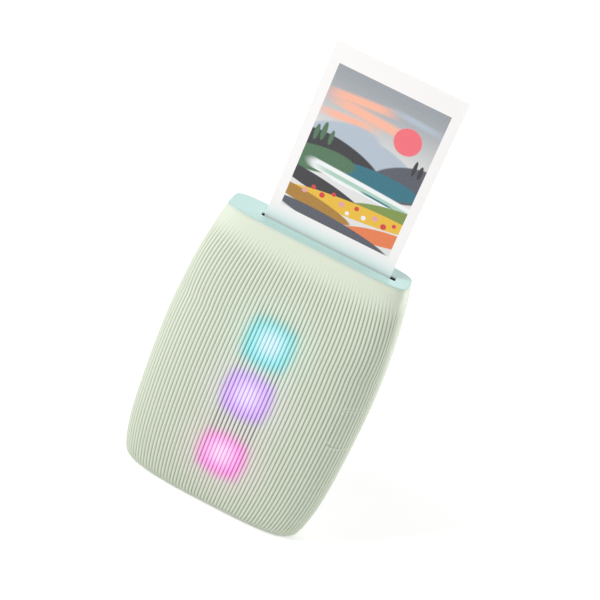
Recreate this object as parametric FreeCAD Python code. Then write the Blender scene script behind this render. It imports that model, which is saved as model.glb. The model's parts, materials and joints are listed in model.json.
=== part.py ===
import FreeCAD, Part
import math
import os

# Compact photo printer, standing on its narrow base with a print half way out of the top.
# X runs to the right seen from the ribbed front, Y to the back, Z up; origin at the middle of the base.
# All lengths in millimetres. Values that end in share or shares are plain ratios.

# Body: a barrel that is widest a little below the middle and narrows to a flat cap
BODY_HEIGHT = 125.0
BODY_WIDTH = 90.0
BODY_DEPTH = 37.3
TOP_NARROWING = 13.6
TOP_DEPTH = 16.6
BASE_NARROWING = 5.8
BASE_DEPTH = 28.0
widest_share = 0.496
BASE_EDGE = 5.0
BASE_TUCK = 4.5
SIDE_TUCK_Z = 25.0
SIDE_TUCK = 3.8
CORNER_BLEND = 40.0
depth_taper_share = 3.41
mid_corner_share = 3.0
back_corner_share = 4.5
top_corner_share = 5.65
level_shares = (0.0, 0.02, 0.13, 0.3, 0.5, 0.7, 0.87, 0.955, 1.0)
OUTLINE_POINTS = 28
FINE_STEPS = 40
WALL = 1.8
SEAM_Y = 3.0
CUT = 2.0
PEG_SIDES = 8
BARREL_SIDES = 12
CUP_SIDES = 12
CORNER_STEPS = 3

# Fits
RUNNING_FIT = 0.05
SEAT_FIT = 0.1
PANEL_GAP = 0.3

# Ribs of the front
RIB_COUNT = 73
RIB_DEPTH = 0.4
RIB_FOOT = 2.4
RIB_FADE_START = 19.0
RIB_FADE_END = 7.0
crest_share = 0.5

# Cap and slot
CAP_THICK = 1.0
CAP_ROUND = 0.45
CAP_PLUG = 1.5
SLOT_X = 3.9
SLOT_SPARE = 3.6
SLOT_WIDTH = 2.8
SLOT_CORNER = 0.7
LINER_WALL = 1.2
LINER_DEPTH = 3.0
LIP_THICK = 0.6

# Film sheet and the print, which is one sheet half way out
FILM_SIDE_ROOM = 36.0
FILM_END_ROOM = 39.0
FILM_THICK = 0.24
PICTURE_SIDE_BORDER = 4.0
PICTURE_END_BORDERS = 24.0
PICTURE_TOP_BORDER = 7.8
FILM_X = 3.36
FILM_Y = -1.6
FILM_COUNT = 9
PRINT_TAIL_DEPTH = 8.9

# Film pack
PACK_SIDE = 4.0
PACK_BOTTOM_Z = 17.0
PACK_ENDS = 9.5
PACK_FRONT = 1.6
PACK_DEPTH = 12.5
PACK_WALL = 1.2
SHEET_SIDE_GAP = 0.3
SHEET_REST = 0.4
PATH_GAP = 0.3
PACK_WINDOW_SPARE = 1.0
PACK_WINDOW_LOW = 36.0
PACK_WINDOW_DROP = 6.5
PACK_SLIT = 0.8
PLATE_THICK = 1.0
PLATE_MARGIN = 1.4
PAD_SLOT_X = 14.0
PAD_SLOT_WIDTH = 8.6
PAD_SLOT_LOW = 27.0
PAD_SLOT_HIGH = 91.0

# Chassis: the chamber that the pack drops into
CHASSIS_WALL = 1.2
PACK_FIT = 0.2
CHAMBER_FRONT_Y = -4.8
CHAMBER_BACK_Y = 9.0
EAR_LEFT_INSET = 11.5
EAR_RIGHT_INSET = 6.8
EAR_HALF = 2.6
ear_left_heights = ((12.0, 18.0), (54.0, 84.0))
LEFT_LOW_SCREW_Z = 15.0
LEFT_HIGH_SCREW_Z = 69.0
RIGHT_LOW_SCREW_Z = 17.0
RIGHT_HIGH_SCREW_Z = 92.0
CASE_SCREW_LOW_Z = 58.0
CASE_SCREW_HIGH_Z = 80.0
BOSS_RADIUS = 2.2
LEDGE_Y = 7.2
LEDGE_THICK = 1.0
LEDGE_LOW = 12.0
LEDGE_DROP = 11.0

# Screws
SCREW_RADIUS = 1.0
SCREW_HEAD_RADIUS = 1.8
SCREW_HEAD = 1.1
SCREW_LENGTH = 6.0
SMALL_SCREW_RADIUS = 0.7
SMALL_HEAD_RADIUS = 1.4
SMALL_HEAD = 0.8
SMALL_SCREW_LENGTH = 4.0

# Rollers and gears
GEAR_MODULE = 0.4
GEAR_BACKLASH = 0.09
ROLLER_TEETH = 16
WHEEL_TEETH = 28
PINION_TEETH = 10
GEAR_WIDTH = 1.8
GEAR_GAP = 0.3
addendum_share = 0.8
dedendum_share = 1.2
FLANK_ANGLE = 24.0
ROLLER_DROP = 7.5
NIP_GAP = 0.3
ROLLER_SHAFT_RADIUS = 1.25
BUSH_WALL = 0.6
BUSH_PROUD = 0.3
FRAME_THICK = 1.0
FRAME_BASE_THICK = 0.8
FRAME_LEFT_STEP = 2.64
FRAME_RIGHT_STEP = 3.66
FRAME_DROP = 5.0
FRAME_SIDE = 2.6
FRAME_CORNER = 1.6
FRAME_RAIL_FRONT_Y = -9.6
FRAME_RAIL_BACK_Y = 7.0
FRAME_RAIL = 1.2
AXLE_RADIUS = 0.6
HUB_RADIUS = 1.2
GEAR_PLATE = 0.8
GEAR_PLATE_HEIGHT = 26.9
GEAR_PLATE_FRONT_Y = -13.2
GEAR_PLATE_STEP = 15.9
GEAR_PLATE_STEP_Y = -8.4
mesh_angles = (-72.0, -72.0, -122.0, -127.0)
MOTOR_RADIUS = 4.2
MOTOR_LENGTH = 17.0
MOTOR_SHAFT_RADIUS = 0.5
MOTOR_BOSS_RADIUS = 1.4
MOTOR_BOSS = 0.5

# Exposure head
HEAD_INSET = 1.6
HEAD_DROP = 16.3
HEAD_HEIGHT = 8.6
HEAD_FRONT_Y = -11.4
HEAD_CHAMFER = 2.0
LENS_INSET = 4.6
LENS_HEIGHT = 2.4
LENS_DEPTH = 2.4
LENS_PROUD = 0.6
HEAD_WINDOW_INSET = 3.4
HEAD_WINDOW_HEIGHT = 4.6

# Main board, lights and battery
BOARD_SIDE_ROOM = 15.0
BOARD_LOW = 24.0
BOARD_FRONT_Y = -11.6
BOARD_THICK = 1.0
BOARD_SCREW_INSET = 3.5
BOARD_SCREW_LOW = 57.0
BOARD_SCREW_DROP = 4.0
BOARD_POST_RADIUS = 2.0
light_shares = (0.232, 0.476, 0.676)
CUP_RADIUS = 9.3
CUP_WALL = 0.8
CUP_GAP = 0.5
CUP_LINK = 4.0
CUP_LINK_THICK = 1.0
DIFFUSER_THICK = 1.2
EMITTER = 5.0
EMITTER_THICK = 0.8
CHIP_THICK = 1.2
CELL_LEFT = -16.0
CELL_SIDE_ROOM = 13.0
CELL_LOW = 16.0
CELL_HIGH = 52.0
CELL_FRONT_Y = -10.2
CELL_ROUND = 2.2
RIBBON_THICK = 0.3
HEAD_RIBBON_LEFT = 12.0
HEAD_RIBBON_WIDTH = 10.0
CELL_RIBBON_LEFT = 6.0
CELL_RIBBON_WIDTH = 5.0
SOCKET_DEPTH = 1.6
SOCKET_HEIGHT = 3.0

# Flush side button, its status slit and its switch
BUTTON_INSET = 4.4
BUTTON_Y = -7.0
BUTTON_ANGLE = -30.4
BUTTON_WIDTH = 17.4
BUTTON_LOW = 52.3
BUTTON_HIGH = 71.0
BUTTON_CORNER = 2.5
BUTTON_GAP = 0.15
BUTTON_RIM = 1.0
BUTTON_RIM_THICK = 0.8
BUTTON_TRAVEL = 0.6
BUTTON_REACH = 9.0
BUTTON_ROOT = 5.0
SLIT_OFFSET = 5.2
SLIT_WIDTH = 0.9
SLIT_LOW = 56.8
SLIT_HIGH = 65.8
SLIT_SINK = 0.2
STEM_RADIUS = 1.0
SWITCH_SIZE = 4.6
SWITCH_FRONT = 0.8
SWITCH_THICK = 2.4
STEM_INSERT = 0.9
SWITCH_BOARD_HALF = 4.0
SWITCH_BOARD_THICK = 0.8
SWITCH_RIB_HALF = 1.0
SWITCH_RIB_LENGTH = 2.8

# Charging port and reset button on the left side
PORT_Z = 30.0
PORT_HEIGHT = 9.0
PORT_THICK = 3.2
PORT_WALL = 0.35
PORT_LENGTH = 7.3
PORT_SINK = 0.3
PORT_TONGUE = 0.8
PORT_TONGUE_HEIGHT = 6.4
PORT_RIM = 0.4
CHARGE_BOARD_Y = 1.9
CHARGE_BOARD_THICK = 0.8
CHARGE_LEFT_INSET = 3.8
CHARGE_RIGHT_INSET = 14.4
CHARGE_BOARD_LOW = 22.0
CHARGE_BOARD_HIGH = 50.0
CHARGE_SCREW_Z = 38.0
CHARGE_SCREW_INSET = 12.4
CHARGE_BLOCK_DEPTH = 3.6
CHARGE_BLOCK_HALF = 2.0
RESET_Z = 45.0
RESET_Y = -0.2
RESET_RADIUS = 1.1
RESET_SINK = 0.4
RESET_RIM_RADIUS = 1.9
RESET_RIM_THICK = 0.7
RESET_RIM_GAP = 0.5
RESET_TRAVEL = 0.4
RESET_STEM_RADIUS = 0.7
RESET_STEM_LENGTH = 1.4
RESET_SWITCH = 3.8
RESET_SWITCH_DEPTH = 3.2

# Film door in the back
DOOR_SIDE_ROOM = 9.0
DOOR_LOW = 11.3
DOOR_DROP = 9.5
HINGE_Y = 13.6
HINGE_Z = 9.5
HINGE_RADIUS = 1.4
HINGE_PIN_RADIUS = 0.6
HINGE_INSET = 10.0
KNUCKLE_INNER = 8.0
KNUCKLE_END = 5.0
HINGE_GAP = 0.3
HINGE_WEB = 1.2
NOTCH_DEPTH = 1.6
NOTCH_SIDE = 3.5
DOOR_WALL = 1.4
DOOR_WALL_FRONT_Y = 9.9
LINER_PLATE_FRONT_Y = 9.6
LINER_PLATE_THICK = 1.0
LINER_BOSS_RADIUS = 2.0
LINER_BOSS_INSET = 6.0
LINER_BOSS_LOW = 24.0
LINER_BOSS_DROP = 23.5
LINER_TOP_GAP = 5.2
WINDOW_X = -18.0
WINDOW_Z = 62.0
WINDOW_WIDTH = 5.0
WINDOW_HEIGHT = 13.0
WINDOW_CORNER = 1.6
WINDOW_RIM = 0.8
LOCK_HALF = 6.0
LOCK_LENGTH = 16.2
LOCK_FIT = 0.2
LOCK_TRAVEL = 2.5
LOCK_POST_HALF = 3.0
LOCK_POST_DROP = 12.5
LOCK_POST = 3.0
LOCK_TAB_HALF = 5.0
LOCK_TAB_DROP = 14.5
LOCK_TAB = 6.5
LOCK_TAB_Y = 16.9
LOCK_TAB_THICK = 1.2
LOCK_GRIPS = 4
LOCK_GRIP = 0.4
LOCK_POCKET_Y = 10.9
SPRING_WIDTH = 6.0
SPRING_LOW = 33.0
SPRING_HIGH = 84.0
SPRING_THICK = 0.3
SPRING_FOOT = 4.0

# Pick claw that starts a sheet on its way
CLAW_THICK = 0.6
CLAW_WIDTH = 5.0
CLAW_INSET = 1.24
CLAW_LOW = 19.0
CLAW_HIGH = 31.0
CLAW_TRAVEL = 12.5
CLAW_HOOK_HALF = 0.9
CLAW_HOOK_HIGH = 18.5
CLAW_HOOK_LOW = 17.3
CLAW_SLOT_HALF = 1.2
CLAW_RAIL = 0.9

# Places worked out from the sizes above
Vector = FreeCAD.Vector
X_AXIS = Vector(1, 0, 0)
Y_AXIS = Vector(0, 1, 0)
Z_AXIS = Vector(0, 0, 1)
TOP_WIDTH = BODY_WIDTH - TOP_NARROWING
BASE_WIDTH = BODY_WIDTH - BASE_NARROWING
WIDEST_Z = BODY_HEIGHT * widest_share
SHELL_TOP = BODY_HEIGHT - CAP_THICK
RIB_FADE_LOW = BODY_HEIGHT - RIB_FADE_START
RIB_FADE_HIGH = BODY_HEIGHT - RIB_FADE_END
FILM_WIDTH = BODY_WIDTH - FILM_SIDE_ROOM
FILM_LENGTH = BODY_HEIGHT - FILM_END_ROOM
PICTURE_WIDTH = FILM_WIDTH - 2 * PICTURE_SIDE_BORDER
PICTURE_LENGTH = FILM_LENGTH - PICTURE_END_BORDERS
PRINT_TAIL_Z = BODY_HEIGHT - PRINT_TAIL_DEPTH
SLOT_LENGTH = FILM_WIDTH + SLOT_SPARE
PACK_WIDTH = FILM_WIDTH + 2 * PACK_SIDE
PACK_HEIGHT = FILM_LENGTH + PACK_ENDS
PACK_TOP_Z = PACK_BOTTOM_Z + PACK_HEIGHT
PACK_WINDOW_WIDTH = PICTURE_WIDTH + PACK_WINDOW_SPARE
PACK_WINDOW_HIGH = PACK_TOP_Z - PACK_WINDOW_DROP
PACK_FRONT_Y = FILM_Y - PACK_FRONT
PACK_BACK_Y = PACK_FRONT_Y + PACK_DEPTH
SHEET_BOTTOM_Z = PACK_BOTTOM_Z + PACK_WALL + SHEET_REST
CHAMBER_HALF = PACK_WIDTH / 2 + PACK_FIT
CHASSIS_LEFT = FILM_X - CHAMBER_HALF - CHASSIS_WALL
CHASSIS_RIGHT = FILM_X + CHAMBER_HALF + CHASSIS_WALL
CHAMBER_LOW = PACK_BOTTOM_Z - PACK_FIT
CHAMBER_HIGH = PACK_TOP_Z + PACK_FIT
CHASSIS_TOP = CHAMBER_HIGH + CHASSIS_WALL
EAR_X_LEFT = EAR_LEFT_INSET - BODY_WIDTH / 2
EAR_X_RIGHT = BODY_WIDTH / 2 - EAR_RIGHT_INSET
LEDGE_HIGH = BODY_HEIGHT - LEDGE_DROP
ROLLER_Z = BODY_HEIGHT - ROLLER_DROP
FRAME_LEFT_X = CHASSIS_LEFT + FRAME_LEFT_STEP
FRAME_RIGHT_X = CHASSIS_RIGHT - FRAME_RIGHT_STEP
FRAME_TOP_Z = BODY_HEIGHT - FRAME_DROP
GEAR_PLATE_LOW = CHASSIS_TOP - GEAR_PLATE_HEIGHT
GEAR_PLATE_STEP_Z = CHASSIS_TOP - GEAR_PLATE_STEP
GEAR_PLATE_BACK_Y = LEDGE_Y - PANEL_GAP
HEAD_HALF = FILM_WIDTH / 2 - HEAD_INSET
HEAD_WINDOW_HALF = FILM_WIDTH / 2 - HEAD_WINDOW_INSET
LENS_HALF = FILM_WIDTH / 2 - LENS_INSET
HEAD_BOTTOM_Z = CHASSIS_TOP - HEAD_DROP
BOARD_HALF = BODY_WIDTH / 2 - BOARD_SIDE_ROOM
BOARD_HIGH = GEAR_PLATE_LOW
BOARD_SCREW_X = BOARD_HALF - BOARD_SCREW_INSET
BOARD_SCREW_HIGH = BOARD_HIGH - BOARD_SCREW_DROP
CELL_RIGHT = BODY_WIDTH / 2 - CELL_SIDE_ROOM
BUTTON_X = BODY_WIDTH / 2 - BUTTON_INSET
CHARGE_BOARD_LEFT = CHARGE_LEFT_INSET - BODY_WIDTH / 2
CHARGE_BOARD_RIGHT = CHARGE_RIGHT_INSET - BODY_WIDTH / 2
CHARGE_SCREW_X = CHARGE_SCREW_INSET - BODY_WIDTH / 2
DOOR_HALF = BODY_WIDTH / 2 - DOOR_SIDE_ROOM
DOOR_HIGH = BODY_HEIGHT - DOOR_DROP
HINGE_HALF = DOOR_HALF - HINGE_INSET
KNUCKLE_OUTER = HINGE_HALF - KNUCKLE_END
LINER_BOSS_X = DOOR_HALF - LINER_BOSS_INSET
LINER_BOSS_HIGH = DOOR_HIGH - LINER_BOSS_DROP
LOCK_HIGH = DOOR_HIGH - PANEL_GAP
LOCK_LOW = LOCK_HIGH - LOCK_LENGTH
LOCK_POST_LOW = DOOR_HIGH - LOCK_POST_DROP
LOCK_POST_HIGH = LOCK_POST_LOW + LOCK_POST
LOCK_TAB_LOW = DOOR_HIGH - LOCK_TAB_DROP
LOCK_TAB_HIGH = LOCK_TAB_LOW + LOCK_TAB
CLAW_X = FILM_X - FILM_WIDTH / 2 + CLAW_INSET
NIP_SPREAD = GEAR_MODULE * ROLLER_TEETH
ROLLER_RADIUS = (NIP_SPREAD - NIP_GAP) / 2
DRIVE_Y = FILM_Y - NIP_SPREAD / 2
PINCH_Y = FILM_Y + NIP_SPREAD / 2
PLATE_X = CHASSIS_LEFT - GEAR_PLATE
LAYER_STEP = GEAR_WIDTH + GEAR_GAP
BOARD_BACK_Y = BOARD_FRONT_Y + BOARD_THICK
HEAD_MID_Z = HEAD_BOTTOM_Z + HEAD_HEIGHT / 2
PLATE_BACK_Y = FILM_Y + PATH_GAP + FILM_COUNT * FILM_THICK + PLATE_THICK


# Shape of the body

def half_width(z):
    above = z > WIDEST_Z
    reach = BODY_HEIGHT - WIDEST_Z if above else WIDEST_Z
    end = TOP_WIDTH if above else BASE_WIDTH
    half = BODY_WIDTH / 2 - (BODY_WIDTH - end) / 2 * ((z - WIDEST_Z) / reach) ** 2
    return half - tuck(z, SIDE_TUCK_Z, SIDE_TUCK)


def half_depth(z):
    if z > WIDEST_Z:
        rise = ((z - WIDEST_Z) / (BODY_HEIGHT - WIDEST_Z)) ** depth_taper_share
        return BODY_DEPTH / 2 - (BODY_DEPTH - TOP_DEPTH) / 2 * rise
    fall = ((WIDEST_Z - z) / WIDEST_Z) ** 2
    return BODY_DEPTH / 2 - (BODY_DEPTH - BASE_DEPTH) / 2 * fall - tuck(z, BASE_EDGE, BASE_TUCK)


def tuck(z, height, amount):
    if z >= height:
        return 0.0
    return amount * (1 - math.sqrt(1 - ((height - z) / height) ** 2))


def corner_power(z, at_back):
    blend = min(1.0, (BODY_HEIGHT - z) / CORNER_BLEND)
    middle = back_corner_share if at_back else mid_corner_share
    return top_corner_share * (1 - blend) + middle * blend


def outline_point(z, turn, inset):
    """Point of the body's outline at one height; turn runs from 0 at the right through 0.5 at the left."""
    angle = -2 * math.pi * turn
    power = 2 / corner_power(z, math.sin(angle) > 0)
    x = math.copysign(abs(math.cos(angle)) ** power, math.cos(angle))
    y = math.copysign(abs(math.sin(angle)) ** power, math.sin(angle))
    return Vector((half_width(z) - inset) * x, (half_depth(z) - inset) * y, z)


def even_turns(z, count):
    """Turns that divide the front of the outline at one height into equal lengths, right to left."""
    power = corner_power(z, False)
    wide, deep = half_width(z), half_depth(z)
    fine = FINE_STEPS * count
    ways = [math.pi * i / fine for i in range(fine + 1)]
    run = [0.0]
    before = None
    for way in ways:
        across, out = abs(math.cos(way)) / wide, abs(math.sin(way)) / deep
        reach = (across ** power + out ** power) ** (-1 / power)
        point = Vector(reach * math.cos(way), reach * math.sin(way), 0)
        if before is not None:
            run.append(run[-1] + (point - before).Length)
        before = point
    result = []
    j = 0
    for k in range(count + 1):
        want = run[-1] * k / count
        while j < fine - 1 and run[j + 1] < want:
            j += 1
        way = ways[j] + (ways[j + 1] - ways[j]) * (want - run[j]) / (run[j + 1] - run[j])
        angle = math.atan2((abs(math.sin(way)) / deep) ** (power / 2),
                           (abs(math.cos(way)) / wide) ** (power / 2))
        result.append((angle if way < math.pi / 2 else math.pi - angle) / (2 * math.pi))
    return result


def stacked(rings):
    """Solid through closed outlines one above another, its sides laid in flat three-cornered facets."""
    faces = [Part.Face(Part.makePolygon(ring + ring[:1])) for ring in (rings[0], rings[-1])]
    for low, high in zip(rings, rings[1:]):
        count = len(low)
        for i in range(count):
            j = (i + 1) % count
            faces.append(Part.Face(Part.makePolygon([low[i], low[j], high[j], low[i]])))
            faces.append(Part.Face(Part.makePolygon([low[i], high[j], high[i], low[i]])))
    solid = Part.Solid(Part.makeShell(faces))
    if solid.Volume < 0:
        solid.reverse()
    return solid


def section(z, inset):
    """Closed outline of the body at one height, drawn in by inset; its points crowd at the corners."""
    return [outline_point(z, i / OUTLINE_POINTS, inset) for i in range(OUTLINE_POINTS)]


def core(inset, low, high):
    """Solid inside of the body: the outline drawn in by inset, from one height to another."""
    levels = [low] + [s * SHELL_TOP for s in level_shares if low < s * SHELL_TOP < high] + [high]
    return stacked([section(z, inset) for z in levels])


# Basic solids

def box(x0, x1, y0, y1, z0, z1):
    return Part.makeBox(x1 - x0, y1 - y0, z1 - z0, Vector(x0, y0, z0))


def rod(radius, start, end):
    return Part.makeCylinder(radius, (end - start).Length, start, end - start)


def peg(radius, start, end, sides=PEG_SIDES):
    """Many-sided rod for small fixed pieces and their holes, with the same faces for both."""
    axis = (end - start).normalize()
    v = axis.cross(Y_AXIS if abs(axis.x) > math.sqrt(0.5) else X_AXIS).normalize()
    u = v.cross(axis)
    turns = [2 * math.pi * i / sides for i in range(sides)]
    points = [start + u * (radius * math.cos(t)) + v * (radius * math.sin(t)) for t in turns]
    return extrude_outline(points, end - start)


def rounded_prism(centre, across, up, width, height, radius, depth):
    """Rounded rectangle round a centre, its corners in short straight steps, extruded along depth."""
    points = []
    for quarter, (sx, sy) in enumerate(((1, 1), (-1, 1), (-1, -1), (1, -1))):
        middle = centre + across * (sx * (width / 2 - radius)) + up * (sy * (height / 2 - radius))
        for i in range(CORNER_STEPS + 1):
            turn = (quarter + i / CORNER_STEPS) * math.pi / 2
            points.append(middle + across * (radius * math.cos(turn)) + up * (radius * math.sin(turn)))
    return extrude_outline(points, depth)


def extrude_outline(points, depth):
    return Part.Face(Part.makePolygon(points + points[:1])).extrude(depth)


def flat_bore(radius):
    """Corner radius of a peg-shaped hole whose flats clear a round rod of this radius."""
    return radius / math.cos(math.pi / PEG_SIDES)


def fused(shapes):
    whole = shapes[0].fuse(shapes[1:]) if len(shapes) > 1 else shapes[0]
    return whole.removeSplitter()


def screw(radius, head_radius, head, length, place, into):
    """Pan-head screw: place is the seat of its head, into points along its shank."""
    shank = peg(radius, place, place + into * length)
    return shank.fuse(peg(head_radius, place - into * head, place)).removeSplitter()


# Casing

def rib_outline(z):
    """Front half of the outline with its ribs, closed along the seam."""
    rise = min(1.0, max(0.0, (z - RIB_FOOT / 3) / (RIB_FOOT - RIB_FOOT / 3)))
    fade = min(1.0, max(0.0, (RIB_FADE_HIGH - z) / (RIB_FADE_HIGH - RIB_FADE_LOW)))
    depth = RIB_DEPTH * min(rise, fade)
    grooves = even_turns(z, RIB_COUNT)
    points = [seam_point(z, 1)]
    for a, b in zip(grooves, grooves[1:]):
        points.append(outline_point(z, a, depth))
        points.append(outline_point(z, a + (b - a) * crest_share, 0))
    points.append(outline_point(z, grooves[-1], depth))
    points.append(seam_point(z, -1))
    return points


def seam_point(z, side):
    power = corner_power(z, True)
    x = half_width(z) * (1 - (SEAM_Y / half_depth(z)) ** power) ** (1 / power)
    return Vector(side * x, SEAM_Y, z)


def ribbed_front():
    return stacked([rib_outline(s * SHELL_TOP) for s in level_shares])


def chassis_screw_places():
    left = [(EAR_X_LEFT, z) for z in (LEFT_LOW_SCREW_Z, LEFT_HIGH_SCREW_Z)]
    return left + [(EAR_X_RIGHT, z) for z in (RIGHT_LOW_SCREW_Z, RIGHT_HIGH_SCREW_Z)]


def front_shell(cores):
    shell = cores["ribbed"].cut(cores["inside"])
    front = Vector(0, -BODY_DEPTH, 0)
    for x, z in chassis_screw_places():
        seat = Vector(x, CHAMBER_FRONT_Y, z)
        boss = peg(BOSS_RADIUS, seat, seat + front).common(cores["mid_wall"])
        bore = peg(SCREW_RADIUS + RUNNING_FIT, seat + Y_AXIS * CUT, seat - Y_AXIS * SCREW_LENGTH)
        shell = shell.fuse(boss).cut(bore)
    shell = shell.cut(button_prism(BUTTON_GAP))
    shell = shell.cut(port_prism(PORT_RIM))
    reset = Vector(0, RESET_Y, RESET_Z)
    return shell.cut(rod(RESET_RADIUS + RUNNING_FIT, reset, reset - X_AXIS * BODY_WIDTH))


def hinge_line():
    return Vector(-HINGE_HALF, HINGE_Y, HINGE_Z), Vector(HINGE_HALF, HINGE_Y, HINGE_Z)


def knuckle(x0, x1, web_low, web_high):
    """Barrel of the hinge with the web that joins it to its cover."""
    barrel = peg(HINGE_RADIUS, Vector(x0, HINGE_Y, HINGE_Z), Vector(x1, HINGE_Y, HINGE_Z), BARREL_SIDES)
    web = box(x0, x1, HINGE_Y - HINGE_WEB / 2, HINGE_Y + HINGE_WEB / 2, web_low, web_high)
    return barrel.fuse(web)


def case_knuckle_spans():
    inner = KNUCKLE_INNER - HINGE_GAP
    outer = KNUCKLE_OUTER + HINGE_GAP
    return (-HINGE_HALF, -outer), (-inner, inner), (outer, HINGE_HALF)


def door_knuckle_spans():
    return (-KNUCKLE_OUTER, -KNUCKLE_INNER), (KNUCKLE_INNER, KNUCKLE_OUTER)


def back_shell(cores):
    wall = cores["outside"].cut(cores["inside"])
    back = BODY_DEPTH
    shell = wall.common(box(-BODY_WIDTH, BODY_WIDTH, SEAM_Y, back, 0, BODY_HEIGHT))
    opening = box(-DOOR_HALF - PANEL_GAP, DOOR_HALF + PANEL_GAP, LEDGE_Y, back,
                  DOOR_LOW - PANEL_GAP, DOOR_HIGH + PANEL_GAP)
    side = HINGE_HALF + NOTCH_SIDE
    notch = box(-side, side, LEDGE_Y, back, HINGE_Z - NOTCH_DEPTH, DOOR_LOW)
    shell = shell.cut(opening).cut(notch)
    inner = BODY_WIDTH / 2
    for x0, x1 in ((-inner, CHASSIS_LEFT - PANEL_GAP), (CHASSIS_RIGHT + PANEL_GAP, inner)):
        ledge = box(x0, x1, LEDGE_Y, LEDGE_Y + LEDGE_THICK, LEDGE_LOW, LEDGE_HIGH)
        shell = shell.fuse(ledge.common(cores["mid_wall"]))
    for x0, x1 in case_knuckle_spans():
        lug = knuckle(x0, x1, HINGE_Z - NOTCH_DEPTH - HINGE_WEB, HINGE_Z)
        shell = shell.fuse(lug)
    shell = shell.cut(peg(flat_bore(HINGE_PIN_RADIUS), *hinge_line()))
    pocket = box(-LOCK_HALF - LOCK_FIT, LOCK_HALF + LOCK_FIT, SEAM_Y, LOCK_POCKET_Y,
                 DOOR_HIGH, LOCK_HIGH + LOCK_TRAVEL + PANEL_GAP)
    shell = shell.cut(pocket)
    for z in (CASE_SCREW_LOW_Z, CASE_SCREW_HIGH_Z):
        seat = Vector(EAR_X_LEFT, LEDGE_Y, z)
        shell = shell.cut(peg(SCREW_RADIUS + RUNNING_FIT, seat - Y_AXIS * CUT, seat + Y_AXIS * back))
    return shell.removeSplitter()


def case_screws():
    places = [Vector(EAR_X_LEFT, LEDGE_Y + LEDGE_THICK, z) for z in (CASE_SCREW_LOW_Z, CASE_SCREW_HIGH_Z)]
    return [screw(SCREW_RADIUS, SCREW_HEAD_RADIUS, SCREW_HEAD, SCREW_LENGTH, p, -Y_AXIS) for p in places]


def top_cap():
    shoulder = BODY_HEIGHT - CAP_ROUND
    plate = stacked([section(SHELL_TOP, 0), section(shoulder, 0), section(BODY_HEIGHT, CAP_ROUND)])
    plug_low = SHELL_TOP - CAP_PLUG
    plug = stacked([section(z, WALL + SEAT_FIT) for z in (plug_low, SHELL_TOP)])
    cap = plate.fuse(plug)
    well = slot_box(LINER_WALL + SEAT_FIT, plug_low - CUT, BODY_HEIGHT - LIP_THICK)
    slot = rounded_prism(Vector(SLOT_X, FILM_Y, plug_low), X_AXIS, Y_AXIS, SLOT_LENGTH, SLOT_WIDTH,
                         SLOT_CORNER, Z_AXIS * BODY_HEIGHT)
    return cap.cut(well).cut(slot).removeSplitter()


def slot_box(margin, low, high):
    length = SLOT_LENGTH / 2 + margin
    width = SLOT_WIDTH / 2 + margin
    return box(SLOT_X - length, SLOT_X + length, FILM_Y - width, FILM_Y + width, low, high)


def slot_liner():
    top = BODY_HEIGHT - LIP_THICK
    return slot_box(LINER_WALL, top - LINER_DEPTH, top).cut(slot_box(0, top - LINER_DEPTH - CUT, top + CUT))


# Film

def film_box(low, front, back):
    half = FILM_WIDTH / 2
    return box(FILM_X - half, FILM_X + half, front, back, low, low + FILM_LENGTH)


def picture_box():
    half = PICTURE_WIDTH / 2
    high = PRINT_TAIL_Z + FILM_LENGTH - PICTURE_TOP_BORDER
    return box(FILM_X - half, FILM_X + half, FILM_Y - FILM_THICK / 2, FILM_Y + FILM_THICK / 2,
               high - PICTURE_LENGTH, high)


def print_sheet():
    return film_box(PRINT_TAIL_Z, FILM_Y - FILM_THICK / 2, FILM_Y + FILM_THICK / 2).cut(picture_box())


def film_stack():
    front = FILM_Y + PATH_GAP
    return film_box(SHEET_BOTTOM_Z, front, front + FILM_COUNT * FILM_THICK)


def pressure_plate():
    half = FILM_WIDTH / 2 - PLATE_MARGIN
    return box(FILM_X - half, FILM_X + half, PLATE_BACK_Y - PLATE_THICK, PLATE_BACK_Y,
               SHEET_BOTTOM_Z + PLATE_MARGIN, SHEET_BOTTOM_Z + FILM_LENGTH - PLATE_MARGIN)


def film_pack():
    half = PACK_WIDTH / 2
    case = box(FILM_X - half, FILM_X + half, PACK_FRONT_Y, PACK_BACK_Y, PACK_BOTTOM_Z, PACK_TOP_Z)
    room = FILM_WIDTH / 2 + SHEET_SIDE_GAP
    cavity = box(FILM_X - room, FILM_X + room, PACK_FRONT_Y + PACK_WALL, PACK_BACK_Y - PACK_WALL,
                 PACK_BOTTOM_Z + PACK_WALL, PACK_TOP_Z - PACK_WALL)
    window = PACK_WINDOW_WIDTH / 2
    opening = box(FILM_X - window, FILM_X + window, PACK_FRONT_Y - CUT, FILM_Y,
                  PACK_WINDOW_LOW, PACK_WINDOW_HIGH)
    slit = box(FILM_X - room, FILM_X + room, FILM_Y - PACK_SLIT / 2, FILM_Y + PACK_SLIT / 2,
               PACK_TOP_Z - PACK_WALL - CUT, PACK_TOP_Z + CUT)
    case = case.cut(cavity).cut(opening).cut(slit)
    for side in (-1, 1):
        x = FILM_X + side * PAD_SLOT_X
        case = case.cut(box(x - PAD_SLOT_WIDTH / 2, x + PAD_SLOT_WIDTH / 2, FILM_Y, PACK_BACK_Y + CUT,
                            PAD_SLOT_LOW, PAD_SLOT_HIGH))
    return case.cut(claw_slot(PACK_FRONT_Y - CUT, FILM_Y + PATH_GAP))


def claw_slot(front, back):
    high = CLAW_HOOK_HIGH + CLAW_TRAVEL + PANEL_GAP
    low = CLAW_HOOK_LOW - PACK_FIT
    return box(CLAW_X - CLAW_SLOT_HALF, CLAW_X + CLAW_SLOT_HALF, front, back, low, high)


# Chassis

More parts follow.
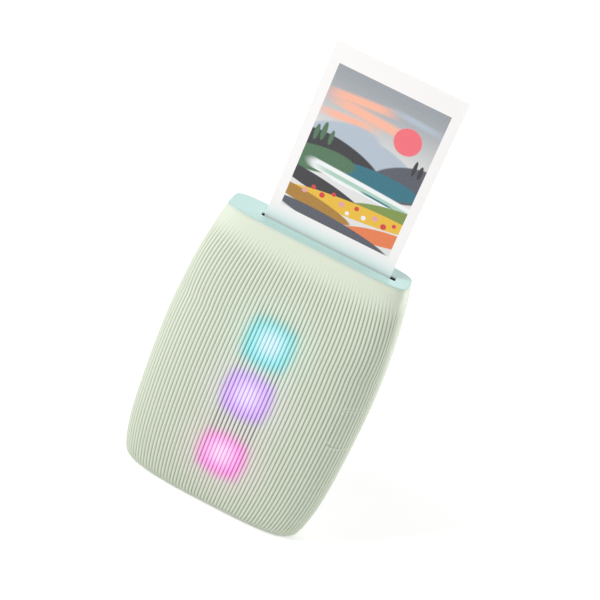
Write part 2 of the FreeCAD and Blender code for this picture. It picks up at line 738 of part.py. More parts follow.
def chassis():
    front = CHAMBER_FRONT_Y
    block = box(CHASSIS_LEFT, CHASSIS_RIGHT, front, CHAMBER_BACK_Y, CHAMBER_LOW - CHASSIS_WALL, CHASSIS_TOP)
    room = box(FILM_X - CHAMBER_HALF, FILM_X + CHAMBER_HALF, front + CHASSIS_WALL, CHAMBER_BACK_Y + CUT,
               CHAMBER_LOW, CHAMBER_HIGH)
    body = block.cut(room)
    ear_back = front + CHASSIS_WALL
    for low, high in ear_left_heights:
        body = body.fuse(box(EAR_X_LEFT - EAR_HALF, CHASSIS_LEFT, front, ear_back, low, high))
    low_ear = box(EAR_X_LEFT - EAR_HALF, CHASSIS_LEFT + CHASSIS_WALL, front, ear_back,
                  LEFT_LOW_SCREW_Z - EAR_HALF, LEFT_LOW_SCREW_Z + EAR_HALF)
    body = body.fuse(low_ear)
    for z in (RIGHT_LOW_SCREW_Z, RIGHT_HIGH_SCREW_Z):
        body = body.fuse(box(CHASSIS_RIGHT - CHASSIS_WALL, EAR_X_RIGHT + BOSS_RADIUS, front, ear_back,
                             z - EAR_HALF, z + EAR_HALF))
    for z in (CASE_SCREW_LOW_Z, CASE_SCREW_HIGH_Z):
        post = peg(BOSS_RADIUS, Vector(EAR_X_LEFT, front, z), Vector(EAR_X_LEFT, LEDGE_Y, z))
        body = body.fuse(post)
        seat = Vector(EAR_X_LEFT, LEDGE_Y, z)
        body = body.cut(peg(SCREW_RADIUS + RUNNING_FIT, seat + Y_AXIS * CUT, seat - Y_AXIS * SCREW_LENGTH))
    for x, z in board_screw_places():
        foot = Vector(x, front + CHASSIS_WALL, z)
        seat = Vector(x, BOARD_BACK_Y, z)
        body = body.fuse(peg(BOARD_POST_RADIUS, foot, seat))
        hole = peg(SMALL_SCREW_RADIUS + RUNNING_FIT, seat - Y_AXIS * CUT, seat + Y_AXIS * SMALL_SCREW_LENGTH)
        body = body.cut(hole)
    body = body.fuse(charge_block()).fuse(switch_rib())
    for side in (-1, 1):
        rail = CLAW_X + side * (CLAW_WIDTH / 2 + RUNNING_FIT + CLAW_RAIL / 2)
        body = body.fuse(box(rail - CLAW_RAIL / 2, rail + CLAW_RAIL / 2, front - CLAW_THICK - RUNNING_FIT,
                             front, CHAMBER_LOW, CLAW_HIGH + CLAW_TRAVEL))
    for x, z in chassis_screw_places():
        spot = Vector(x, front, z)
        body = body.cut(peg(SCREW_RADIUS + RUNNING_FIT, spot - Y_AXIS * CUT, spot + Y_AXIS * CUT))
    half = HEAD_WINDOW_HALF
    body = body.cut(box(FILM_X - half, FILM_X + half, front - CUT, front + CHASSIS_WALL + CUT,
                        HEAD_MID_Z - HEAD_WINDOW_HEIGHT / 2, HEAD_MID_Z + HEAD_WINDOW_HEIGHT / 2))
    slit = FILM_WIDTH / 2 + SHEET_SIDE_GAP
    body = body.cut(box(FILM_X - slit, FILM_X + slit, FILM_Y - PACK_SLIT, FILM_Y + PACK_SLIT,
                        CHAMBER_HIGH - CUT, CHASSIS_TOP + CUT))
    for y, z in gear_plate_screw_places():
        spot = Vector(CHASSIS_LEFT, y, z)
        end = spot + X_AXIS * CHASSIS_WALL
        body = body.cut(peg(SMALL_SCREW_RADIUS + RUNNING_FIT, spot - X_AXIS * CUT, end))
    return body.cut(claw_slot(front - CUT, front + CHASSIS_WALL + CUT)).removeSplitter()


def chassis_screws():
    return [screw(SCREW_RADIUS, SCREW_HEAD_RADIUS, SCREW_HEAD, SCREW_LENGTH,
                  Vector(x, CHAMBER_FRONT_Y + CHASSIS_WALL, z), -Y_AXIS) for x, z in chassis_screw_places()]


def board_screw_places():
    return [(x, z) for x in (-BOARD_SCREW_X, BOARD_SCREW_X) for z in (BOARD_SCREW_LOW, BOARD_SCREW_HIGH)]


def gear_plate_screw_places():
    y = GEAR_PLATE_BACK_Y - SMALL_HEAD_RADIUS - SEAT_FIT
    inset = SMALL_HEAD_RADIUS + SMALL_HEAD
    return [(y, GEAR_PLATE_LOW + inset), (y, CHASSIS_TOP - inset)]


def small_screws():
    size = (SMALL_SCREW_RADIUS, SMALL_HEAD_RADIUS, SMALL_HEAD, SMALL_SCREW_LENGTH)
    group = [screw(*size, Vector(x, BOARD_FRONT_Y, z), Y_AXIS) for x, z in board_screw_places()]
    charge = Vector(CHARGE_SCREW_X, CHARGE_BOARD_Y, CHARGE_SCREW_Z)
    return group + [screw(*size, charge, Y_AXIS)]


# Claw that pushes a sheet into the nip

def pick_claw():
    back = CHAMBER_FRONT_Y - RUNNING_FIT
    half = CLAW_WIDTH / 2
    plate = box(CLAW_X - half, CLAW_X + half, back - CLAW_THICK, back, CLAW_LOW, CLAW_HIGH)
    tab = box(CLAW_X - CLAW_HOOK_HALF, CLAW_X + CLAW_HOOK_HALF, back - CLAW_THICK, back,
              CLAW_HOOK_LOW, CLAW_LOW)
    reach = FILM_Y + FILM_THICK / 2
    hook = box(CLAW_X - CLAW_HOOK_HALF, CLAW_X + CLAW_HOOK_HALF, back - CLAW_THICK, reach,
               CLAW_HOOK_LOW, CLAW_HOOK_HIGH)
    return fused([plate, tab, hook])


# Rollers

def roller_frame():
    right = FRAME_RIGHT_X + FRAME_THICK
    base = box(FRAME_LEFT_X, right, FRAME_RAIL_FRONT_Y, FRAME_RAIL_BACK_Y, CHASSIS_TOP,
               CHASSIS_TOP + FRAME_BASE_THICK)
    well = box(FRAME_LEFT_X + FRAME_THICK, FRAME_RIGHT_X, FRAME_RAIL_FRONT_Y + FRAME_RAIL,
               FRAME_RAIL_BACK_Y - FRAME_RAIL, CHASSIS_TOP - CUT, CHASSIS_TOP + CUT)
    frame = base.cut(well)
    front = DRIVE_Y - FRAME_SIDE
    back = PINCH_Y + FRAME_SIDE
    middle = (CHASSIS_TOP + FRAME_TOP_Z) / 2
    for x in (FRAME_LEFT_X, FRAME_RIGHT_X):
        plate = rounded_prism(Vector(x, (front + back) / 2, middle), Y_AXIS, Z_AXIS, back - front,
                              FRAME_TOP_Z - CHASSIS_TOP, FRAME_CORNER, X_AXIS * FRAME_THICK)
        foot = box(x, x + FRAME_THICK, front, back, CHASSIS_TOP, middle)
        frame = frame.fuse(plate).fuse(foot)
    for y in (DRIVE_Y, PINCH_Y):
        bore = ROLLER_SHAFT_RADIUS + RUNNING_FIT + BUSH_WALL
        frame = frame.cut(peg(bore, Vector(-BODY_WIDTH, y, ROLLER_Z), Vector(BODY_WIDTH, y, ROLLER_Z)))
    return frame.removeSplitter()


def bush(x, y):
    """Flat-sided bush in one upright of the roller frame."""
    bore = ROLLER_SHAFT_RADIUS + RUNNING_FIT
    left = Vector(x - BUSH_PROUD, y, ROLLER_Z)
    right = Vector(x + FRAME_THICK + BUSH_PROUD, y, ROLLER_Z)
    body = peg(bore + BUSH_WALL, left, right)
    return body.cut(peg(flat_bore(bore), left - X_AXIS * CUT, right + X_AXIS * CUT))


def roller_bushes():
    return [bush(x, y) for x in (FRAME_LEFT_X, FRAME_RIGHT_X) for y in (DRIVE_Y, PINCH_Y)]


def roller_ends():
    return FILM_X - FILM_WIDTH / 2, FILM_X + FILM_WIDTH / 2


def roller_shaft(y):
    """Steel shaft that reaches from the gears to the right bush."""
    return rod(ROLLER_SHAFT_RADIUS, Vector(layer(0) - GEAR_WIDTH, y, ROLLER_Z),
               Vector(FRAME_RIGHT_X + FRAME_THICK + BUSH_PROUD, y, ROLLER_Z))


def roller_sleeve(y):
    left, right = roller_ends()
    outer = rod(ROLLER_RADIUS, Vector(left, y, ROLLER_Z), Vector(right, y, ROLLER_Z))
    return outer.cut(rod(ROLLER_SHAFT_RADIUS, Vector(left, y, ROLLER_Z), Vector(right, y, ROLLER_Z)))


# Gears

def layer(number):
    """Right face of one of the three gear layers, counted away from the chassis."""
    return PLATE_X - GEAR_GAP - number * LAYER_STEP


def gear(teeth, width, centre, phase, bore):
    """Spur gear on an X axis; centre is the middle of its right face, phase the angle of one tooth."""
    pitch = GEAR_MODULE * teeth / 2
    tip = pitch + addendum_share * GEAR_MODULE
    root = pitch - dedendum_share * GEAR_MODULE
    half = (math.pi * GEAR_MODULE / 2 - GEAR_BACKLASH) / 2
    slope = math.tan(math.radians(FLANK_ANGLE))
    tip_turn = (half - (tip - pitch) * slope) / tip
    root_turn = half / pitch
    points = []
    for i in range(teeth):
        middle = phase + 2 * math.pi * i / teeth
        for radius, turn in ((root, -root_turn), (tip, -tip_turn), (tip, tip_turn), (root, root_turn)):
            angle = middle + turn
            points.append(centre + Y_AXIS * (radius * math.cos(angle)) + Z_AXIS * (radius * math.sin(angle)))
    wheel = extrude_outline(points, X_AXIS * -width)
    return wheel.cut(rod(bore, centre + X_AXIS * CUT, centre - X_AXIS * (width + CUT)))


def meshed_phase(angle, teeth_a, phase_a, teeth_b):
    """Phase that puts a gap of gear b opposite a tooth of gear a along the line of centres."""
    pitch_a = 2 * math.pi / teeth_a
    pitch_b = 2 * math.pi / teeth_b
    past = ((angle - phase_a) / pitch_a) % 1.0
    return angle + math.pi - pitch_b * (0.5 - past)


def gear_train():
    """Centres and tooth phases of the train, from the drive roller down to the motor."""
    angles = [math.radians(a) for a in mesh_angles]
    near = GEAR_MODULE * (ROLLER_TEETH + PINION_TEETH) / 2
    far = GEAR_MODULE * (WHEEL_TEETH + PINION_TEETH) / 2
    y, z = DRIVE_Y, ROLLER_Z
    train = []
    driven_teeth, driven_phase = ROLLER_TEETH, 0.0
    for angle, reach in zip(angles, (near, far, far, far)):
        y += reach * math.cos(angle)
        z += reach * math.sin(angle)
        small = meshed_phase(angle, driven_teeth, driven_phase, PINION_TEETH)
        train.append((y, z, small))
        driven_teeth, driven_phase = WHEEL_TEETH, small
    return train


def compound_gear(place, small_layer, wheel_layer):
    """Pinion and wheel moulded on one hub."""
    y, z, phase = place
    bore = AXLE_RADIUS + RUNNING_FIT
    small = gear(PINION_TEETH, GEAR_WIDTH, Vector(layer(small_layer), y, z), phase, bore)
    wheel = gear(WHEEL_TEETH, GEAR_WIDTH, Vector(layer(wheel_layer), y, z), phase, bore)
    right = layer(min(small_layer, wheel_layer))
    left = layer(max(small_layer, wheel_layer)) - GEAR_WIDTH
    hub = peg(HUB_RADIUS, Vector(left, y, z), Vector(right, y, z))
    hub = hub.cut(rod(bore, Vector(left, y, z), Vector(right, y, z)))
    return fused([small, wheel, hub])


def roller_gear(y, phase):
    return gear(ROLLER_TEETH, GEAR_WIDTH, Vector(layer(0), y, ROLLER_Z), phase, ROLLER_SHAFT_RADIUS)


def gear_axles(train):
    end = layer(2) - GEAR_WIDTH - GEAR_GAP
    return [peg(AXLE_RADIUS, Vector(PLATE_X, y, z), Vector(end, y, z)) for y, z, phase in train[:3]]


def gear_plate(train):
    """Steel plate on the chassis that carries the axles and the motor."""
    points = [(GEAR_PLATE_FRONT_Y, GEAR_PLATE_LOW), (GEAR_PLATE_BACK_Y, GEAR_PLATE_LOW),
              (GEAR_PLATE_BACK_Y, CHASSIS_TOP), (GEAR_PLATE_STEP_Y, CHASSIS_TOP),
              (GEAR_PLATE_STEP_Y, GEAR_PLATE_STEP_Z), (GEAR_PLATE_FRONT_Y, GEAR_PLATE_STEP_Z)]
    plate = extrude_outline([Vector(PLATE_X, y, z) for y, z in points], X_AXIS * GEAR_PLATE)
    y, z, phase = train[3]
    plate = plate.cut(peg(MOTOR_BOSS_RADIUS + SEAT_FIT, Vector(PLATE_X - CUT, y, z),
                          Vector(PLATE_X + CUT, y, z)))
    for y, z in gear_plate_screw_places():
        plate = plate.cut(peg(SMALL_SCREW_RADIUS + RUNNING_FIT, Vector(PLATE_X - CUT, y, z),
                              Vector(PLATE_X + CUT, y, z)))
    return plate


def plate_screws():
    length = GEAR_PLATE + CHASSIS_WALL
    return [screw(SMALL_SCREW_RADIUS, SMALL_HEAD_RADIUS, SMALL_HEAD, length, Vector(PLATE_X, y, z), X_AXIS)
            for y, z in gear_plate_screw_places()]


def motor(train):
    y, z, phase = train[3]
    face = Vector(CHASSIS_LEFT, y, z)
    can = rod(MOTOR_RADIUS, face, face + X_AXIS * MOTOR_LENGTH)
    boss = peg(MOTOR_BOSS_RADIUS, face + X_AXIS * CUT, face - X_AXIS * MOTOR_BOSS)
    bore = rod(MOTOR_SHAFT_RADIUS + RUNNING_FIT, face - X_AXIS * CUT, face + X_AXIS * CUT)
    return can.fuse(boss).removeSplitter().cut(bore)


def motor_pinion(train):
    y, z, phase = train[3]
    right = layer(0)
    pinion = gear(PINION_TEETH, GEAR_WIDTH, Vector(right, y, z), phase, MOTOR_SHAFT_RADIUS)
    shaft = rod(MOTOR_SHAFT_RADIUS, Vector(right - GEAR_WIDTH, y, z), Vector(CHASSIS_LEFT + CUT, y, z))
    return pinion.fuse(shaft).removeSplitter()


# Exposure head

def exposure_head():
    body = box(FILM_X - HEAD_HALF, FILM_X + HEAD_HALF, HEAD_FRONT_Y, CHAMBER_FRONT_Y, HEAD_BOTTOM_Z,
               HEAD_BOTTOM_Z + HEAD_HEIGHT)
    long_edges = [e for e in body.Edges if abs(e.tangentAt(0).x) > math.sqrt(0.5)
                  and e.CenterOfMass.y < HEAD_FRONT_Y + HEAD_CHAMFER]
    body = body.makeChamfer(HEAD_CHAMFER, long_edges)
    channel = box(FILM_X - LENS_HALF, FILM_X + LENS_HALF, CHAMBER_FRONT_Y - LENS_DEPTH,
                  CHAMBER_FRONT_Y + CUT, HEAD_MID_Z - LENS_HEIGHT / 2, HEAD_MID_Z + LENS_HEIGHT / 2)
    return body.cut(channel)


def lens_bar():
    bar = box(FILM_X - LENS_HALF, FILM_X + LENS_HALF, CHAMBER_FRONT_Y - LENS_DEPTH,
              CHAMBER_FRONT_Y + LENS_PROUD, HEAD_MID_Z - LENS_HEIGHT / 2, HEAD_MID_Z + LENS_HEIGHT / 2)
    nose = [e for e in bar.Edges if abs(e.tangentAt(0).x) > math.sqrt(0.5)
            and e.CenterOfMass.y > CHAMBER_FRONT_Y]
    return bar.makeFillet(LENS_PROUD - RUNNING_FIT, nose)


# Boards, lights and cell

def main_board():
    board = box(-BOARD_HALF, BOARD_HALF, BOARD_FRONT_Y, BOARD_BACK_Y, BOARD_LOW, BOARD_HIGH)
    for x, z in board_screw_places():
        spot = Vector(x, BOARD_FRONT_Y, z)
        board = board.cut(peg(SMALL_SCREW_RADIUS + RUNNING_FIT, spot - Y_AXIS * CUT, spot + Y_AXIS * CUT))
    return board


def on_board(x0, x1, z0, z1, thick):
    return box(x0, x1, BOARD_BACK_Y, BOARD_BACK_Y + thick, z0, z1)


def board_parts():
    """Packages on the back of the board, each placed by shares of the board."""
    chip_shares = ((0.5, 0.7, 0.22), (0.18, 0.72, 0.16), (0.72, 0.56, 0.12), (0.36, 0.56, 0.09))
    width = 2 * BOARD_HALF
    height = BOARD_HIGH - BOARD_LOW
    chips = []
    for along, up, size in chip_shares:
        x = -BOARD_HALF + width * along
        z = BOARD_LOW + height * up
        half = width * size / 2
        chips.append(on_board(x - half, x + half, z - half / 2, z + half / 2, CHIP_THICK))
    head_x = HEAD_RIBBON_LEFT
    chips.append(on_board(head_x - SOCKET_DEPTH, head_x + HEAD_RIBBON_WIDTH + SOCKET_DEPTH,
                          BOARD_HIGH - 2 * SOCKET_HEIGHT, BOARD_HIGH - SOCKET_HEIGHT, SOCKET_DEPTH))
    cell_x = CELL_RIBBON_LEFT
    chips.append(on_board(cell_x - SOCKET_DEPTH, cell_x + CELL_RIBBON_WIDTH + SOCKET_DEPTH,
                          CELL_HIGH + SOCKET_HEIGHT / 2, CELL_HIGH + 3 * SOCKET_HEIGHT / 2, SOCKET_DEPTH))
    return chips


def light_heights():
    return tuple(share * BODY_HEIGHT for share in light_shares)


def light_emitters():
    half = EMITTER / 2
    return [box(-half, half, BOARD_FRONT_Y - EMITTER_THICK, BOARD_FRONT_Y, z - half, z + half)
            for z in light_heights()]


def cup_front(z):
    """Front edge of one light cup, clear of the curved inside of the shell."""
    room = min(half_depth(z - CUP_RADIUS), half_depth(z + CUP_RADIUS))
    return -(room - WALL - CUP_GAP)


def light_baffle():
    cups = []
    for z in light_heights():
        base = Vector(0, BOARD_FRONT_Y, z)
        mouth = Vector(0, cup_front(z), z)
        cups.append(peg(CUP_RADIUS, base, mouth, CUP_SIDES))
    low, middle, high = light_heights()
    for z0, z1 in ((low, middle), (middle, high)):
        cups.append(box(-CUP_LINK, CUP_LINK, BOARD_FRONT_Y - CUP_LINK_THICK, BOARD_FRONT_Y, z0, z1))
    baffle = fused(cups)
    for z in light_heights():
        baffle = baffle.cut(peg(CUP_RADIUS - CUP_WALL, Vector(0, BOARD_FRONT_Y + CUT, z),
                                Vector(0, -BODY_DEPTH, z), CUP_SIDES))
    return baffle


def light_diffusers():
    discs = []
    for z in light_heights():
        mouth = Vector(0, cup_front(z), z)
        discs.append(peg(CUP_RADIUS - CUP_WALL, mouth, mouth + Y_AXIS * DIFFUSER_THICK, CUP_SIDES))
    return discs


def battery_cell():
    cell = box(CELL_LEFT, CELL_RIGHT, CELL_FRONT_Y, CHAMBER_FRONT_Y, CELL_LOW, CELL_HIGH)
    upright = [e for e in cell.Edges if abs(e.tangentAt(0).z) > math.sqrt(0.5)]
    return cell.makeFillet(CELL_ROUND, upright)


def ribbon(points, x, width):
    """Flat cable of even thickness along straight runs in the YZ plane."""
    front = [Vector(x, y, z) for y, z in points]
    rear = [p + Y_AXIS * RIBBON_THICK for p in reversed(front)]
    return extrude_outline(front + rear, X_AXIS * width)


def head_ribbon():
    """From the underside of the head down to its socket on the board."""
    low = BOARD_HIGH - SOCKET_HEIGHT
    y = BOARD_BACK_Y + SOCKET_DEPTH / 2
    bend = (HEAD_FRONT_Y + CHAMBER_FRONT_Y) / 2
    rise = (HEAD_BOTTOM_Z - low) / 3
    return ribbon([(y, low), (y, low + rise), (bend, HEAD_BOTTOM_Z - rise), (bend, HEAD_BOTTOM_Z)],
                  HEAD_RIBBON_LEFT, HEAD_RIBBON_WIDTH)


def cell_ribbon():
    high = CELL_HIGH + SOCKET_HEIGHT / 2
    y = BOARD_BACK_Y + SOCKET_DEPTH / 2
    return ribbon([(y, CELL_HIGH), (y, high)], CELL_RIBBON_LEFT, CELL_RIBBON_WIDTH)


# Side button

def button_frame():
    turn = math.radians(BUTTON_ANGLE)
    outward = Vector(math.cos(turn), math.sin(turn), 0)
    along = Vector(-math.sin(turn), math.cos(turn), 0)
    return Vector(BUTTON_X, BUTTON_Y, 0), outward, along


def button_prism(margin):
    """Outline of the side button, widened by margin, along the press direction through the wall."""
    middle, outward, along = button_frame()
    centre = middle - outward * BUTTON_ROOT + Z_AXIS * ((BUTTON_LOW + BUTTON_HIGH) / 2)
    height = BUTTON_HIGH - BUTTON_LOW + 2 * margin
    return rounded_prism(centre, along, Z_AXIS, BUTTON_WIDTH + 2 * margin, height,
                         BUTTON_CORNER + margin, outward * (BUTTON_ROOT + BUTTON_REACH))


def slit_prism(margin):
    middle, outward, along = button_frame()
    centre = middle - outward * BUTTON_ROOT + along * SLIT_OFFSET + Z_AXIS * ((SLIT_LOW + SLIT_HIGH) / 2)
    return rounded_prism(centre, along, Z_AXIS, SLIT_WIDTH + 2 * margin, SLIT_HIGH - SLIT_LOW + 2 * margin,
                         SLIT_WIDTH / 3, outward * (BUTTON_ROOT + BUTTON_REACH))


def power_button(cores):
    outer = button_prism(0).common(cores["ribbed"]).cut(cores["inside"])
    rim = button_prism(BUTTON_RIM).common(cores["behind_wall"]).cut(cores["behind_rim"])
    bridge = button_prism(0).common(cores["mid_wall"]).cut(cores["behind_rim"])
    body = outer.fuse([rim, bridge])
    middle, outward, along = button_frame()
    foot = middle + Z_AXIS * ((BUTTON_LOW + BUTTON_HIGH) / 2)
    boss = peg(2 * STEM_RADIUS, foot, foot + outward * BUTTON_REACH).common(cores["mid_wall"])
    return body.fuse(boss).cut(slit_prism(0)).removeSplitter()


def status_lens(cores):
    return slit_prism(0).common(cores["sunk"]).cut(cores["behind_rim"])


def switch_stem():
    middle, outward, along = button_frame()
    foot = middle + Z_AXIS * ((BUTTON_LOW + BUTTON_HIGH) / 2)
    return rod(STEM_RADIUS, foot - outward * (SWITCH_FRONT + STEM_INSERT), foot)


def oblique_box(s0, s1, half, z_half):
    """Block round the button's axis, from s0 to s1 outward."""
    middle, outward, along = button_frame()
    centre = middle + Z_AXIS * ((BUTTON_LOW + BUTTON_HIGH) / 2) + outward * s0
    a = along * half
    up = Z_AXIS * z_half
    return extrude_outline([centre + a + up, centre - a + up, centre - a - up, centre + a - up],
                           outward * (s1 - s0))


def power_switch():
    middle, outward, along = button_frame()
    foot = middle + Z_AXIS * ((BUTTON_LOW + BUTTON_HIGH) / 2)
    back = SWITCH_FRONT + SWITCH_THICK
    body = oblique_box(-back, -SWITCH_FRONT, SWITCH_SIZE / 2, SWITCH_SIZE / 2)
    depth = SWITCH_FRONT + STEM_INSERT + BUTTON_TRAVEL + SEAT_FIT
    return body.cut(rod(STEM_RADIUS + RUNNING_FIT, foot, foot - outward * depth))


def switch_board():
    back = SWITCH_FRONT + SWITCH_THICK
    return oblique_box(-back - SWITCH_BOARD_THICK, -back, SWITCH_BOARD_HALF, SWITCH_BOARD_HALF)


def switch_rib():
    back = SWITCH_FRONT + SWITCH_THICK + SWITCH_BOARD_THICK
    return oblique_box(-back - SWITCH_RIB_LENGTH, -back, SWITCH_RIB_HALF, SWITCH_BOARD_HALF)


# Left side: charging port and reset button

def port_centre_y():
    return CHARGE_BOARD_Y - PORT_THICK / 2


def port_prism(margin):
    centre = Vector(-BODY_WIDTH, port_centre_y(), PORT_Z)
    thick = PORT_THICK + 2 * margin
    return rounded_prism(centre, Y_AXIS, Z_AXIS, thick, PORT_HEIGHT + 2 * margin, thick / 2 - SEAT_FIT,
                         X_AXIS * (BODY_WIDTH + CHARGE_BOARD_RIGHT))


def charging_port():
    mouth = -(half_width(PORT_Z) - PORT_SINK)
    span = box(mouth, mouth + PORT_LENGTH, -BODY_DEPTH, BODY_DEPTH, 0, BODY_HEIGHT)
    shell = port_prism(0).common(span).cut(port_prism(-PORT_WALL).common(
        box(mouth - CUT, mouth + PORT_LENGTH - PORT_WALL, -BODY_DEPTH, BODY_DEPTH, 0, BODY_HEIGHT)))
    y = port_centre_y()
    tongue = box(mouth + PORT_TONGUE, mouth + PORT_LENGTH, y - PORT_TONGUE / 2, y + PORT_TONGUE / 2,
                 PORT_Z - PORT_TONGUE_HEIGHT / 2, PORT_Z + PORT_TONGUE_HEIGHT / 2)
    return shell.fuse(tongue).removeSplitter()


def charge_board():
    board = box(CHARGE_BOARD_LEFT, CHARGE_BOARD_RIGHT, CHARGE_BOARD_Y, CHARGE_BOARD_Y + CHARGE_BOARD_THICK,
                CHARGE_BOARD_LOW, CHARGE_BOARD_HIGH)
    spot = Vector(CHARGE_SCREW_X, CHARGE_BOARD_Y, CHARGE_SCREW_Z)
    return board.cut(peg(SMALL_SCREW_RADIUS + RUNNING_FIT, spot - Y_AXIS * CUT, spot + Y_AXIS * CUT))


def charge_block():
    back = CHARGE_BOARD_Y + CHARGE_BOARD_THICK
    block = box(CHARGE_SCREW_X - CHARGE_BLOCK_HALF, CHASSIS_LEFT, back, back + CHARGE_BLOCK_DEPTH,
                CHARGE_SCREW_Z - CHARGE_BLOCK_HALF, CHARGE_SCREW_Z + CHARGE_BLOCK_HALF)
    spot = Vector(CHARGE_SCREW_X, back, CHARGE_SCREW_Z)
    end = spot + Y_AXIS * CHARGE_BLOCK_DEPTH
    return block.cut(peg(SMALL_SCREW_RADIUS + RUNNING_FIT, spot - Y_AXIS * CUT, end))


def reset_places():
    """X of the reset button's tip, of the back of its rim, and of the end of its stem."""
    tip = -(half_width(RESET_Z) - RESET_SINK)
    rim = -(half_width(RESET_Z) - WALL - RESET_RIM_GAP) + RESET_RIM_THICK
    return tip, rim, rim + RESET_STEM_LENGTH


def reset_button():
    tip, rim, end = reset_places()
    pin = rod(RESET_RADIUS, Vector(tip, RESET_Y, RESET_Z), Vector(rim, RESET_Y, RESET_Z))
    seat = Vector(rim, RESET_Y, RESET_Z)
    collar = peg(RESET_RIM_RADIUS, seat - X_AXIS * RESET_RIM_THICK, seat)
    stem = peg(RESET_STEM_RADIUS, seat, Vector(end, RESET_Y, RESET_Z))
    return fused([pin, collar, stem])


def reset_switch():
    tip, rim, end = reset_places()
    front = rim + RESET_TRAVEL + SEAT_FIT
    half = RESET_SWITCH / 2
    body = box(front, front + RESET_SWITCH_DEPTH, CHARGE_BOARD_Y - RESET_SWITCH, CHARGE_BOARD_Y,
               RESET_Z - half, RESET_Z + half)
    depth = end + RESET_TRAVEL + SEAT_FIT
    return body.cut(peg(RESET_STEM_RADIUS + RUNNING_FIT, Vector(front - CUT, RESET_Y, RESET_Z),
                        Vector(depth, RESET_Y, RESET_Z)))


# Film door

def door_window_prism(margin, front):
    return rounded_prism(Vector(WINDOW_X, front, WINDOW_Z), X_AXIS, Z_AXIS, WINDOW_WIDTH + 2 * margin,
                         WINDOW_HEIGHT + 2 * margin, WINDOW_CORNER + margin, Y_AXIS * BODY_DEPTH)


def film_door(cores):
    back = BODY_DEPTH
    panel = box(-DOOR_HALF, DOOR_HALF, DOOR_WALL_FRONT_Y, back, DOOR_LOW, DOOR_HIGH)
    skin = cores["outside"].cut(cores["inside"]).common(panel)
    tray = box(-DOOR_HALF + DOOR_WALL, DOOR_HALF - DOOR_WALL, SEAM_Y, back, DOOR_LOW + DOOR_WALL,
               DOOR_HIGH - DOOR_WALL)
    wall = panel.cut(tray).common(cores["mid_wall"])
    door = skin.fuse(wall)
    seat = LINER_PLATE_FRONT_Y + LINER_PLATE_THICK
    for x in (-LINER_BOSS_X, LINER_BOSS_X):
        for z in (LINER_BOSS_LOW, LINER_BOSS_HIGH):
            boss = peg(LINER_BOSS_RADIUS, Vector(x, seat, z), Vector(x, back, z))
            door = door.fuse(boss.common(cores["mid_wall"]))
    frame = door_window_prism(WINDOW_RIM, seat).common(cores["mid_wall"])
    door = door.fuse(frame).cut(door_window_prism(0, SEAM_Y))
    for x0, x1 in door_knuckle_spans():
        door = door.fuse(knuckle(x0, x1, HINGE_Z, DOOR_LOW + DOOR_WALL / 2))
    door = door.cut(peg(flat_bore(HINGE_PIN_RADIUS + RUNNING_FIT), *hinge_line()))
    slot = box(-LOCK_POST_HALF - LOCK_FIT, LOCK_POST_HALF + LOCK_FIT, SEAM_Y, back,
               LOCK_POST_LOW - LOCK_FIT, LOCK_POST_HIGH + LOCK_TRAVEL + LOCK_FIT)
    gate = box(-LOCK_HALF - LOCK_FIT, LOCK_HALF + LOCK_FIT, SEAM_Y,
               LINER_PLATE_FRONT_Y + LINER_PLATE_THICK + LOCK_FIT, LOCK_LOW, DOOR_HIGH + CUT)
    return door.cut(slot).cut(gate).removeSplitter()


def door_liner():
    gap = DOOR_WALL + SEAT_FIT
    half = DOOR_HALF - gap
    plate = box(-half, half, LINER_PLATE_FRONT_Y, LINER_PLATE_FRONT_Y + LINER_PLATE_THICK,
                DOOR_LOW + gap, DOOR_HIGH - LINER_TOP_GAP)
    side = LOCK_HALF + LOCK_FIT
    gate = box(-side, side, SEAM_Y, BODY_DEPTH, LOCK_LOW - LOCK_FIT, BODY_HEIGHT)
    return plate.cut(gate).cut(door_window_prism(0, SEAM_Y))


def door_window(cores):
    pane = door_window_prism(-RUNNING_FIT, LINER_PLATE_FRONT_Y).common(cores["sunk"])
    return pane


def door_hinge_pin():
    return rod(HINGE_PIN_RADIUS, *hinge_line())


def door_lock():
    front = LINER_PLATE_FRONT_Y
    plate = box(-LOCK_HALF, LOCK_HALF, front, front + LINER_PLATE_THICK, LOCK_LOW, LOCK_HIGH)
    post = box(-LOCK_POST_HALF, LOCK_POST_HALF, front, LOCK_TAB_Y, LOCK_POST_LOW, LOCK_POST_HIGH)
    tab = box(-LOCK_TAB_HALF, LOCK_TAB_HALF, LOCK_TAB_Y, LOCK_TAB_Y + LOCK_TAB_THICK,
              LOCK_TAB_LOW, LOCK_TAB_HIGH)
    lock = fused([plate, post, tab])
    pitch = (LOCK_TAB_HIGH - LOCK_TAB_LOW) / (LOCK_GRIPS + 1)
    for i in range(LOCK_GRIPS):
        z = LOCK_TAB_LOW + (i + 1) * pitch
        depth = LOCK_TAB_Y + LOCK_TAB_THICK - LOCK_GRIP
        lock = lock.cut(box(-LOCK_TAB_HALF, LOCK_TAB_HALF, depth, BODY_DEPTH,
                            z - LOCK_GRIP / 2, z + LOCK_GRIP / 2))
    return lock


